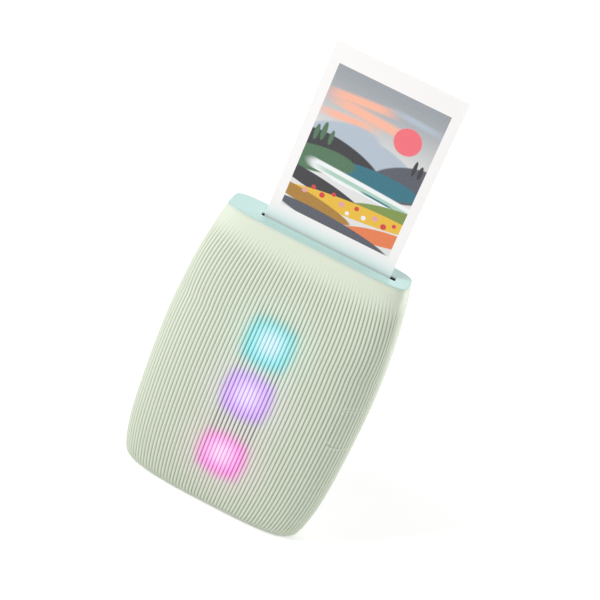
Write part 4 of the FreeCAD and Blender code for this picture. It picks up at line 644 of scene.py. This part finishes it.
metal_group, t, g_in, g_out = new_group(
    "drawn metal",
    [("Vector", "Vector", None), ("Colour", "Color", (1, 1, 1, 1)),
     ("Stretch", "Vector", (40.0, 40.0, 2200.0)), ("Roughness", "Float", 0.3)],
    [("Colour", "Color"), ("Roughness", "Float"), ("Height", "Float")])
stretched = t.add("ShaderNodeVectorMath", {"operation": "MULTIPLY"}, i0=g_in.outputs["Vector"],
                  i1=g_in.outputs["Stretch"]).outputs[0]
lines = t.add("ShaderNodeTexNoise", None, Vector=stretched, Scale=1.0, Detail=4.0).outputs[0]
t.feed(g_out.inputs["Height"], lines)
t.feed(g_out.inputs["Roughness"],
       t.math("ADD", g_in.outputs["Roughness"], t.math("MULTIPLY", t.math("SUBTRACT", lines, 0.5), 0.3)))
t.feed(g_out.inputs["Colour"], t.add("ShaderNodeHueSaturation", None, Color=g_in.outputs["Colour"],
       Value=t.math("ADD", 0.86, t.math("MULTIPLY", lines, 0.28))).outputs[0])

shape_group, t, g_in, g_out = new_group(
    "soft shape",
    [("Vector", "Vector", None), ("Centre X", "Float", 0.0), ("Centre Z", "Float", 0.0),
     ("Half Width", "Float", 0.01), ("Half Height", "Float", 0.01), ("Turn", "Float", 0.0),
     ("Squareness", "Float", 0.0), ("Edge", "Float", 0.1)],
    [("Mask", "Float")])
axes = t.add("ShaderNodeSeparateXYZ", None, Vector=g_in.outputs["Vector"])
dx = t.math("SUBTRACT", axes.outputs[0], g_in.outputs["Centre X"])
dz = t.math("SUBTRACT", axes.outputs[2], g_in.outputs["Centre Z"])
cos = t.math("COSINE", g_in.outputs["Turn"])
sin = t.math("SINE", g_in.outputs["Turn"])
u = t.math("DIVIDE", t.math("ADD", t.math("MULTIPLY", dx, cos), t.math("MULTIPLY", dz, sin)),
           g_in.outputs["Half Width"])
v = t.math("DIVIDE", t.math("SUBTRACT", t.math("MULTIPLY", dz, cos), t.math("MULTIPLY", dx, sin)),
           g_in.outputs["Half Height"])
round_way = t.math("SQRT", t.math("ADD", t.math("MULTIPLY", u, u), t.math("MULTIPLY", v, v)))
square_way = t.math("MAXIMUM", t.math("ABSOLUTE", u), t.math("ABSOLUTE", v))
way = t.math("ADD", t.math("MULTIPLY", round_way, t.math("SUBTRACT", 1.0, g_in.outputs["Squareness"])),
             t.math("MULTIPLY", square_way, g_in.outputs["Squareness"]))
edge = t.add("ShaderNodeMapRange", {"interpolation_type": "SMOOTHSTEP"}, i0=way)
t.feed(edge.inputs[1], t.math("SUBTRACT", 1.0, g_in.outputs["Edge"]))
t.feed(edge.inputs[2], t.math("ADD", 1.0, g_in.outputs["Edge"]))
edge.inputs[3].default_value = 1.0
edge.inputs[4].default_value = 0.0
t.feed(g_out.inputs["Mask"], edge.outputs[0])
print("node groups:", [g.name for g in bpy.data.node_groups if g.type == "SHADER"])


# %% Material helper
def new_material(name):
    """Material with a Principled shader; returns it, its Tree, the shader and object coordinates."""
    material = bpy.data.materials.new(name)
    material.use_nodes = True
    tree = Tree(material.node_tree)
    shader = material.node_tree.nodes["Principled BSDF"]
    place = tree.add("ShaderNodeTexCoord").outputs["Object"]
    return material, tree, shader, place


def use_group(tree, group, **sockets):
    return tree.add("ShaderNodeGroup", {"node_tree": group}, **sockets)


def bump(tree, shader, height, distance, strength=1.0):
    node = tree.add("ShaderNodeBump", None, Height=height, Distance=distance, Strength=strength)
    tree.feed(shader.inputs["Normal"], node.outputs[0])


def plastic(name, rgb, roughness, grain=900.0, drift=0.05, height=0.006 * MM, specular=0.5):
    """Moulded plastic with the shared grain."""
    material, tree, shader, place = new_material(name)
    grain_node = use_group(tree, grain_group, Vector=place, Colour=colour(*rgb), Scale=grain,
                           Drift=drift, Roughness=roughness)
    tree.feed(shader.inputs["Base Color"], grain_node.outputs["Colour"])
    tree.feed(shader.inputs["Roughness"], grain_node.outputs["Roughness"])
    bump(tree, shader, grain_node.outputs["Height"], height)
    shader.inputs["Specular IOR Level"].default_value = specular
    return material


def metal(name, rgb, roughness, stretch=(40.0, 40.0, 2200.0)):
    """Drawn or turned metal with the shared lines."""
    material, tree, shader, place = new_material(name)
    lines_node = use_group(tree, metal_group, Vector=place, Colour=colour(*rgb), Stretch=stretch,
                           Roughness=roughness)
    tree.feed(shader.inputs["Base Color"], lines_node.outputs["Colour"])
    tree.feed(shader.inputs["Roughness"], lines_node.outputs["Roughness"])
    shader.inputs["Metallic"].default_value = 1.0
    bump(tree, shader, lines_node.outputs["Height"], 0.004 * MM)
    return material


# %% [markdown]
# ## Casing plastic and its lights
#
# The casing is a pale sage plastic. Three lamps behind the front shine through it: a turquoise one on
# top, a violet one in the middle and a pink one below. Light through thin plastic is strongest where
# the wall is thinnest and spreads softly sideways. Each light is a soft, nearly square patch with a
# whiter heart, and it is added as emission on top of the plastic's own colour. The cap is aqua on top,
# and the thin side under its rim has the casing's sage, with a fine shaded seam between the two.

# %% Casing plastic
SAGE = (216, 224, 206)
# darker sage that is painted into the rib grooves as shade
SAGE_GROOVE_SHADE = (160, 172, 147)
UNLIT_GROOVE = (92, 102, 90)
# name, height, pale tone of the rib tops, deep tone of the grooves, place of the white heart
lights = [
    ("turquoise", 83.6 * MM, (108, 226, 226), (26, 124, 134), (0.3 * MM, 0.8 * MM)),
    ("violet", 58.6 * MM, (212, 160, 242), (110, 52, 170), (0.0, 0.3 * MM)),
    ("pink", 28.0 * MM, (244, 132, 222), (170, 22, 140), (-0.6 * MM, 0.8 * MM)),
]
PATCH_WIDE, PATCH_HIGH = 9.6 * MM, 9.8 * MM
HEART_WIDE, HEART_HIGH = 5.5 * MM, 6.0 * MM
HALO_HALF = 15.0 * MM
COLUMN_WIDE, COLUMN_HIGH = 9.4 * MM, 38.0 * MM
LIGHT_STRENGTH = 0.9
PATCH_SHARE, HALO_SHARE = 0.86, 0.16
HEART_ON_RIB, HEART_IN_GROOVE = 0.66, 0.34
HEART_WHITE = (246, 244, 255)

shell_plastic, tree, shader, place = new_material("sage_casing")
grain_node = use_group(tree, grain_group, Vector=place, Colour=colour(*SAGE), Scale=700.0, Drift=0.04,
                       Roughness=0.46)
tree.feed(shader.inputs["Roughness"], grain_node.outputs["Roughness"])
bump(tree, shader, grain_node.outputs["Height"], 0.003 * MM)
groove = tree.add("ShaderNodeAttribute", {"attribute_name": "groove"}).outputs["Fac"]
groove = tree.span(groove, 0.05, 0.85)
front_side = tree.span(tree.add("ShaderNodeSeparateXYZ", None, Vector=place).outputs[1], -0.008, -0.012)
# Painted shade: the grooves between the ribs are mixed towards a darker, deeper sage. This is partly crease
# shade and partly the deeper tone of the translucent plastic.
body_colour = tree.mix(tree.math("MULTIPLY", groove, 0.75), grain_node.outputs["Colour"], colour(*SAGE_GROOVE_SHADE))
column = use_group(tree, shape_group, Vector=place, Centre_X=0.0, Centre_Z=58.0 * MM, Half_Width=COLUMN_WIDE,
                   Half_Height=COLUMN_HIGH, Squareness=0.95, Edge=0.14).outputs[0]
column = tree.math("MULTIPLY", tree.math("MULTIPLY", column, groove), front_side)
body_colour = tree.mix(tree.math("MULTIPLY", column, 0.8), body_colour, colour(*UNLIT_GROOVE))
BLACK = (0.0, 0.0, 0.0, 1.0)
glow = BLACK
for label, height, pale, deep, heart_place in lights:
    patch = use_group(tree, shape_group, Vector=place, Centre_X=0.0, Centre_Z=height, Half_Width=PATCH_WIDE,
                      Half_Height=PATCH_HIGH, Squareness=0.4, Edge=0.46)
    halo = use_group(tree, shape_group, Vector=place, Centre_X=0.0, Centre_Z=height, Half_Width=HALO_HALF,
                     Half_Height=HALO_HALF, Squareness=0.1, Edge=0.7)
    heart = use_group(tree, shape_group, Vector=place, Centre_X=heart_place[0],
                      Centre_Z=height + heart_place[1], Half_Width=HEART_WIDE, Half_Height=HEART_HIGH,
                      Squareness=0.2, Edge=0.85)
    strength = tree.math("ADD", tree.math("MULTIPLY", patch.outputs[0], PATCH_SHARE),
                         tree.math("MULTIPLY", halo.outputs[0], HALO_SHARE))
    strength = tree.math("MULTIPLY", strength, front_side)
    tone = tree.mix(groove, colour(*pale), colour(*deep))
    whiten = tree.math("MULTIPLY", heart.outputs[0],
                       tree.span(groove, 0.0, 1.0, HEART_ON_RIB, HEART_IN_GROOVE))
    tone = tree.mix(whiten, tone, colour(*HEART_WHITE))
    glow = tree.mix(1.0, glow, tree.mix(strength, BLACK, tone), "ADD")
    body_colour = tree.mix(tree.math("MULTIPLY", tree.math("MULTIPLY", patch.outputs[0], front_side), 0.9),
                           body_colour, tree.mix(0.5, colour(*deep), colour(60, 70, 66)))
tree.feed(shader.inputs["Base Color"], body_colour)
tree.feed(shader.inputs["Emission Color"], glow)
shader.inputs["Emission Strength"].default_value = LIGHT_STRENGTH

AQUA, SEAM_SHADE = (184, 216, 211), (96, 122, 112)
AQUA_LOW = BODY_HEIGHT - 0.42 * MM
SEAM_WIDTH = 0.1 * MM
cap_plastic, tree, shader, place = new_material("aqua_cap")
height_up = tree.add("ShaderNodeSeparateXYZ", None, Vector=place).outputs[2]
in_aqua = tree.span(height_up, AQUA_LOW - SEAM_WIDTH / 4, AQUA_LOW + SEAM_WIDTH / 4)
rim_colour = tree.mix(in_aqua, colour(*SAGE), colour(*AQUA))
off_seam = tree.math("ABSOLUTE", tree.math("SUBTRACT", height_up, AQUA_LOW))
on_seam = tree.math("SUBTRACT", 1.0, tree.span(off_seam, SEAM_WIDTH / 2, SEAM_WIDTH))
rim_colour = tree.mix(tree.math("MULTIPLY", on_seam, 0.45), rim_colour, colour(*SEAM_SHADE))
grain_node = use_group(tree, grain_group, Vector=place, Colour=rim_colour, Scale=800.0, Drift=0.05,
                       Roughness=0.42)
tree.feed(shader.inputs["Base Color"], grain_node.outputs["Colour"])
tree.feed(shader.inputs["Roughness"], grain_node.outputs["Roughness"])
bump(tree, shader, grain_node.outputs["Height"], 0.004 * MM)
black_plastic = plastic("black_plastic", (26, 26, 28), 0.55, 1200.0, 0.12)
pack_plastic = plastic("pack_plastic", (50, 51, 54), 0.5, 1200.0, 0.1)
acetal = plastic("white_acetal", (232, 229, 216), 0.38, 1500.0)
chip_plastic = plastic("chip_plastic", (34, 34, 36), 0.6, 2400.0, 0.15)
milky_plastic = plastic("milky_plastic", (238, 240, 242), 0.45, 1500.0)
smoked_plastic = plastic("smoked_plastic", (64, 70, 68), 0.2, 1500.0)
rubber = plastic("ground_rubber", (30, 30, 31), 0.8, 3000.0, 0.15, 0.02 * MM)
foam = plastic("seal_foam", (22, 22, 24), 0.95, 2600.0, 0.2, 0.06 * MM)
steel = metal("sheet_steel", (180, 181, 184), 0.3)
screw_steel = metal("screw_steel", (168, 168, 170), 0.35, (900.0, 900.0, 900.0))
motor_steel = metal("motor_can", (190, 190, 194), 0.28, (60.0, 1800.0, 1800.0))
port_steel = metal("port_shell", (186, 187, 192), 0.3, (60.0, 1600.0, 1600.0))
brass = metal("turned_brass", (206, 170, 92), 0.3, (60.0, 1800.0, 1800.0))
foil = metal("cell_foil", (196, 198, 202), 0.42, (260.0, 260.0, 260.0))

# %% [markdown]
# ## Circuit board, ribbon and lens
#
# The boards are lacquered glass fibre: a woven base under a green mask with a faint pattern of tracks.
# The ribbon cables are amber film over parallel copper lines. The lens and the film counter window
# are clear plastic.

# %% Board, ribbon and lens
board, tree, shader, place = new_material("board_mask")
weave = tree.add("ShaderNodeTexWave", {"wave_type": "BANDS", "bands_direction": "DIAGONAL"}, Vector=place,
                 Scale=900.0, Distortion=1.5).outputs[1]
tracks = tree.add("ShaderNodeTexBrick", None, Vector=place, Scale=260.0, Mortar_Size=0.04).outputs[1]
tree.feed(shader.inputs["Base Color"], tree.mix(
    tree.math("MULTIPLY", tracks, 0.6), tree.mix(tree.math("MULTIPLY", weave, 0.25), colour(16, 92, 56),
                                                 colour(10, 66, 42)), colour(40, 128, 78)))
shader.inputs["Roughness"].default_value = 0.35
bump(tree, shader, tracks, 0.02 * MM)

ribbon, tree, shader, place = new_material("amber_ribbon")
copper = tree.add("ShaderNodeTexWave", {"wave_type": "BANDS", "bands_direction": "X"}, Vector=place,
                  Scale=330.0).outputs[1]
tree.feed(shader.inputs["Base Color"], tree.mix(copper, colour(150, 84, 20), colour(212, 140, 52)))
shader.inputs["Roughness"].default_value = 0.25
bump(tree, shader, copper, 0.02 * MM)

lens, tree, shader, place = new_material("clear_lens")
shader.inputs["Base Color"].default_value = colour(226, 238, 238)
shader.inputs["Transmission Weight"].default_value = 0.85
shader.inputs["IOR"].default_value = 1.49
haze = tree.add("ShaderNodeTexNoise", None, Vector=place, Scale=700.0, Detail=2.0).outputs[0]
tree.feed(shader.inputs["Roughness"], tree.span(haze, 0.2, 0.8, 0.04, 0.14))

emitter, tree, shader, place = new_material("light_package")
lit_part = tree.add("ShaderNodeTexNoise", None, Vector=place, Scale=1400.0).outputs[0]
tree.feed(shader.inputs["Base Color"], tree.mix(lit_part, colour(250, 240, 190), colour(245, 245, 240)))
shader.inputs["Roughness"].default_value = 0.3

# %% [markdown]
# ## The print
#
# An instant print is a stiff white film sheet with a picture inside a border, glossy in front and
# dark at the back. Its picture here is a plain paper-cut landscape: a grey sky with peach clouds and a
# coral sun, dark and teal hills, a pale lake, and fields with small flowers. Each shape is an oval or a
# bar, one line of the table below, placed in shares of the picture and painted over the one before.

# %% Picture design
picture_low, picture_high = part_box("print_picture")
picture_size = picture_high - picture_low

SKY_TOP, SKY_LOW = (152, 158, 164), (226, 226, 224)
PEACH, CORAL, RED, ROSE = (250, 182, 156), (242, 106, 118), (212, 46, 52), (224, 160, 166)
NIGHT, SLATE, TEAL, FERN = (40, 39, 46), (78, 82, 94), (20, 108, 126), (70, 112, 78)
OLIVE, YELLOW, OCHRE, WHITE = (122, 146, 62), (234, 186, 40), (170, 122, 30), (240, 243, 244)
ORANGE, MIST, MINT = (232, 122, 66), (178, 190, 204), (170, 206, 188)

# colour, across, up, half width, half height, turn in degrees, squareness, softness of the edge
picture_shapes = [
    (PEACH, 0.30, 0.84, 0.26, 0.026, 5, 0.7, 0.5), (PEACH, 0.42, 0.77, 0.34, 0.030, -3, 0.7, 0.5),
    (PEACH, 0.24, 0.70, 0.22, 0.024, 4, 0.7, 0.6), (MIST, 0.78, 0.87, 0.20, 0.018, -3, 0.5, 0.8),
    (CORAL, 0.76, 0.735, 0.118, 0.088, 0, 0.0, 0.04),
    (MIST, 0.24, 0.56, 0.34, 0.110, 18, 0.0, 0.10), (MIST, 0.66, 0.53, 0.36, 0.100, -14, 0.0, 0.10),
    (SLATE, 0.90, 0.475, 0.34, 0.120, 22, 0.0, 0.05), (NIGHT, 0.30, 0.455, 0.40, 0.098, -10, 0.0, 0.05),
    (TEAL, 0.62, 0.405, 0.42, 0.070, 4, 0.0, 0.05), (FERN, 0.10, 0.375, 0.36, 0.085, 12, 0.0, 0.05),
    (WHITE, 0.60, 0.330, 0.52, 0.036, -3, 0.8, 0.12), (MINT, 0.62, 0.322, 0.44, 0.014, -3, 0.8, 0.3),
    (WHITE, 0.40, 0.300, 0.10, 0.006, -3, 0.6, 0.3), (TEAL, 0.72, 0.306, 0.14, 0.006, -3, 0.6, 0.3),
    (OLIVE, 0.92, 0.245, 0.40, 0.060, 10, 0.0, 0.05), (NIGHT, 0.22, 0.225, 0.44, 0.052, -7, 0.0, 0.06),
    (YELLOW, 0.56, 0.170, 0.60, 0.052, 5, 0.0, 0.04), (OCHRE, 0.16, 0.110, 0.44, 0.044, -6, 0.0, 0.05),
    (ORANGE, 0.88, 0.085, 0.34, 0.050, 12, 0.0, 0.05), (SLATE, 0.46, 0.020, 0.52, 0.046, -4, 0.0, 0.05),
    (FERN, 0.10, 0.565, 0.022, 0.062, 0, 0.0, 0.1), (FERN, 0.175, 0.545, 0.019, 0.050, 0, 0.0, 0.1),
    (FERN, 0.045, 0.540, 0.020, 0.054, 0, 0.0, 0.1), (NIGHT, 0.90, 0.600, 0.016, 0.052, 0, 0.0, 0.1),
    (NIGHT, 0.955, 0.590, 0.018, 0.045, 0, 0.0, 0.1), (RED, 0.20, 0.200, 0.020, 0.015, 0, 0.0, 0.1),
    (RED, 0.29, 0.176, 0.024, 0.018, 0, 0.0, 0.1), (RED, 0.38, 0.214, 0.018, 0.014, 0, 0.0, 0.1),
    (ROSE, 0.47, 0.178, 0.024, 0.018, 0, 0.0, 0.1), (ROSE, 0.14, 0.156, 0.022, 0.016, 0, 0.0, 0.1),
    (RED, 0.60, 0.196, 0.020, 0.015, 0, 0.0, 0.1), (WHITE, 0.68, 0.160, 0.020, 0.015, 0, 0.0, 0.1),
    (ROSE, 0.77, 0.190, 0.024, 0.018, 0, 0.0, 0.1), (RED, 0.86, 0.166, 0.026, 0.019, 0, 0.0, 0.1),
    (WHITE, 0.54, 0.140, 0.018, 0.013, 0, 0.0, 0.1), (RED, 0.94, 0.200, 0.018, 0.013, 0, 0.0, 0.1),
]

picture, tree, shader, place = new_material("print_picture_layer")
sides = tree.add("ShaderNodeSeparateXYZ", None, Vector=place)
paint = tree.mix(tree.span(sides.outputs[2], picture_low.z + 0.45 * picture_size.z, picture_high.z),
                 colour(*SKY_LOW), colour(*SKY_TOP))
for rgb, across, rise, wide, high, turn, square, soft in picture_shapes:
    mask = use_group(tree, shape_group, Vector=place, Centre_X=picture_low.x + across * picture_size.x,
                     Centre_Z=picture_low.z + rise * picture_size.z, Half_Width=wide * picture_size.x,
                     Half_Height=high * picture_size.z, Turn=math.radians(turn), Squareness=square,
                     Edge=soft).outputs[0]
    paint = tree.mix(mask, paint, colour(*rgb))
true_normal = tree.add("ShaderNodeNewGeometry").outputs["True Normal"]
facing = tree.add("ShaderNodeSeparateXYZ", None, Vector=true_normal)
print_back = tree.span(facing.outputs[1], 0.4, 0.6)
tree.feed(shader.inputs["Base Color"], tree.mix(print_back, paint, colour(34, 34, 36)))
shader.inputs["Coat Weight"].default_value = 0.6
shader.inputs["Coat Roughness"].default_value = 0.12
emulsion = tree.add("ShaderNodeTexNoise", None, Vector=place, Scale=1800.0, Detail=2.0).outputs[0]
tree.feed(shader.inputs["Roughness"], tree.span(emulsion, 0.2, 0.8, 0.25, 0.34))
print("picture shapes:", len(picture_shapes))

film, tree, shader, place = new_material("print_border")
height_up = tree.add("ShaderNodeSeparateXYZ", None, Vector=place).outputs[2]
# Painted reflection: the white border turns pale aqua towards the slot, like the aqua cap mirrored in the
# glossy film.
painted_cap_reflection = tree.span(height_up, picture_low.z, BODY_HEIGHT)
tree.feed(shader.inputs["Base Color"], tree.mix(painted_cap_reflection, colour(247, 245, 244), colour(232, 246, 244)))
shader.inputs["Coat Weight"].default_value = 0.3
shader.inputs["Coat Roughness"].default_value = 0.15
fibre = tree.add("ShaderNodeTexNoise", None, Vector=place, Scale=1500.0, Detail=3.0).outputs[0]
tree.feed(shader.inputs["Roughness"], tree.span(fibre, 0.2, 0.8, 0.3, 0.42))
bump(tree, shader, fibre, 0.002 * MM)

# %% [markdown]
# ## Give every part its finish
#
# Each part names the finish it is made of. A table from finish to material covers them all at once,
# and the moulded pieces that were rebuilt above take the same casing and cap plastics.

# %% Assign materials
finishes = {
    "shell_green": shell_plastic, "cap_aqua": cap_plastic, "black_plastic": black_plastic,
    "pack_grey": pack_plastic, "film_white": film, "picture_layer": picture, "screw_steel": screw_steel,
    "sheet_steel": steel, "motor_steel": motor_steel, "port_steel": port_steel, "brass": brass,
    "gear_acetal": acetal, "roller_rubber": rubber, "clear_lens": lens, "board_green": board,
    "chip_black": chip_plastic, "emitter_white": emitter, "diffuser_white": milky_plastic,
    "cell_foil": foil, "ribbon_amber": ribbon, "seal_foam": foam,
}
for part in frame["record"]["subparts"]:
    node = nodes[part["node"]]
    node.data.materials.clear()
    node.data.materials.append(finishes[part["material_slot"]])
    shade(node, math.radians(28))
nodes["status_lens"].data.materials[0] = smoked_plastic
for piece in (front, button, back_skin, door_skin):
    piece.data.materials.clear()
    piece.data.materials.append(shell_plastic)
cap.data.materials.clear()
cap.data.materials.append(cap_plastic)
print("finishes:", len(finishes))

# %% [markdown]
# ## Floor and light
#
# The photograph is a studio picture on white: broad soft light from the upper left, and a gentle fill
# from the right that keeps the shaded side open. The floor is a pale sheet that catches only a soft
# shadow.

# %% Floor
FLOOR_HALF = 3.0
FLOOR_GLOW = 0.26
floor = mesh_piece("floor", [(-FLOOR_HALF, -FLOOR_HALF, 0), (FLOOR_HALF, -FLOOR_HALF, 0),
                             (FLOOR_HALF, FLOOR_HALF, 0), (-FLOOR_HALF, FLOOR_HALF, 0)], [(0, 1, 2, 3)])
floor_paper, tree, shader, place = new_material("floor_paper")
paper = tree.add("ShaderNodeTexNoise", None, Vector=place, Scale=60.0).outputs[0]
tree.feed(shader.inputs["Base Color"], tree.mix(tree.math("MULTIPLY", paper, 0.1), colour(250, 250, 250),
                                                colour(244, 244, 244)))
shader.inputs["Roughness"].default_value = 0.9
shader.inputs["Specular IOR Level"].default_value = 0.1
rays = tree.add("ShaderNodeLightPath")
seen = tree.mix(rays.outputs["Is Camera Ray"], (0, 0, 0, 1), (1, 1, 1, 1))
tree.feed(shader.inputs["Emission Color"], seen)
shader.inputs["Emission Strength"].default_value = FLOOR_GLOW
floor.data.materials.append(floor_paper)

# %% Lamps
LOOK = Vector((0.0, 0.0, 0.07))


def lamp(name, place, size, power):
    data = bpy.data.lights.new(name, "AREA")
    data.shape = "DISK"
    data.size = size
    data.energy = power
    obj = bpy.data.objects.new(name, data)
    obj.location = place
    obj.rotation_euler = (LOOK - Vector(place)).to_track_quat("-Z", "Y").to_euler()
    bpy.context.scene.collection.objects.link(obj)
    return obj


lamp("key_light", (-0.6, -0.5, 0.75), 0.4, 6.6)
lamp("side_light", (0.85, 0.5, 0.3), 0.4, 5.2)
lamp("rim_light", (0.0, 0.8, 0.7), 0.6, 1.6)

world = bpy.data.worlds.new("studio")
world.use_nodes = True
bpy.context.scene.world = world
sky = Tree(world.node_tree)
background = world.node_tree.nodes["Background"]
paths = sky.add("ShaderNodeLightPath")
mirrored = sky.math("MAXIMUM", paths.outputs["Is Glossy Ray"], paths.outputs["Is Transmission Ray"])
white_seen = sky.math("MAXIMUM", paths.outputs["Is Camera Ray"], mirrored)
AMBIENT = 0.46
sky.feed(background.inputs["Color"], sky.mix(white_seen, (AMBIENT, AMBIENT, AMBIENT, 1), (1, 1, 1, 1)))
background.inputs["Strength"].default_value = 1.0
bpy.context.scene.view_settings.view_transform = "Standard"
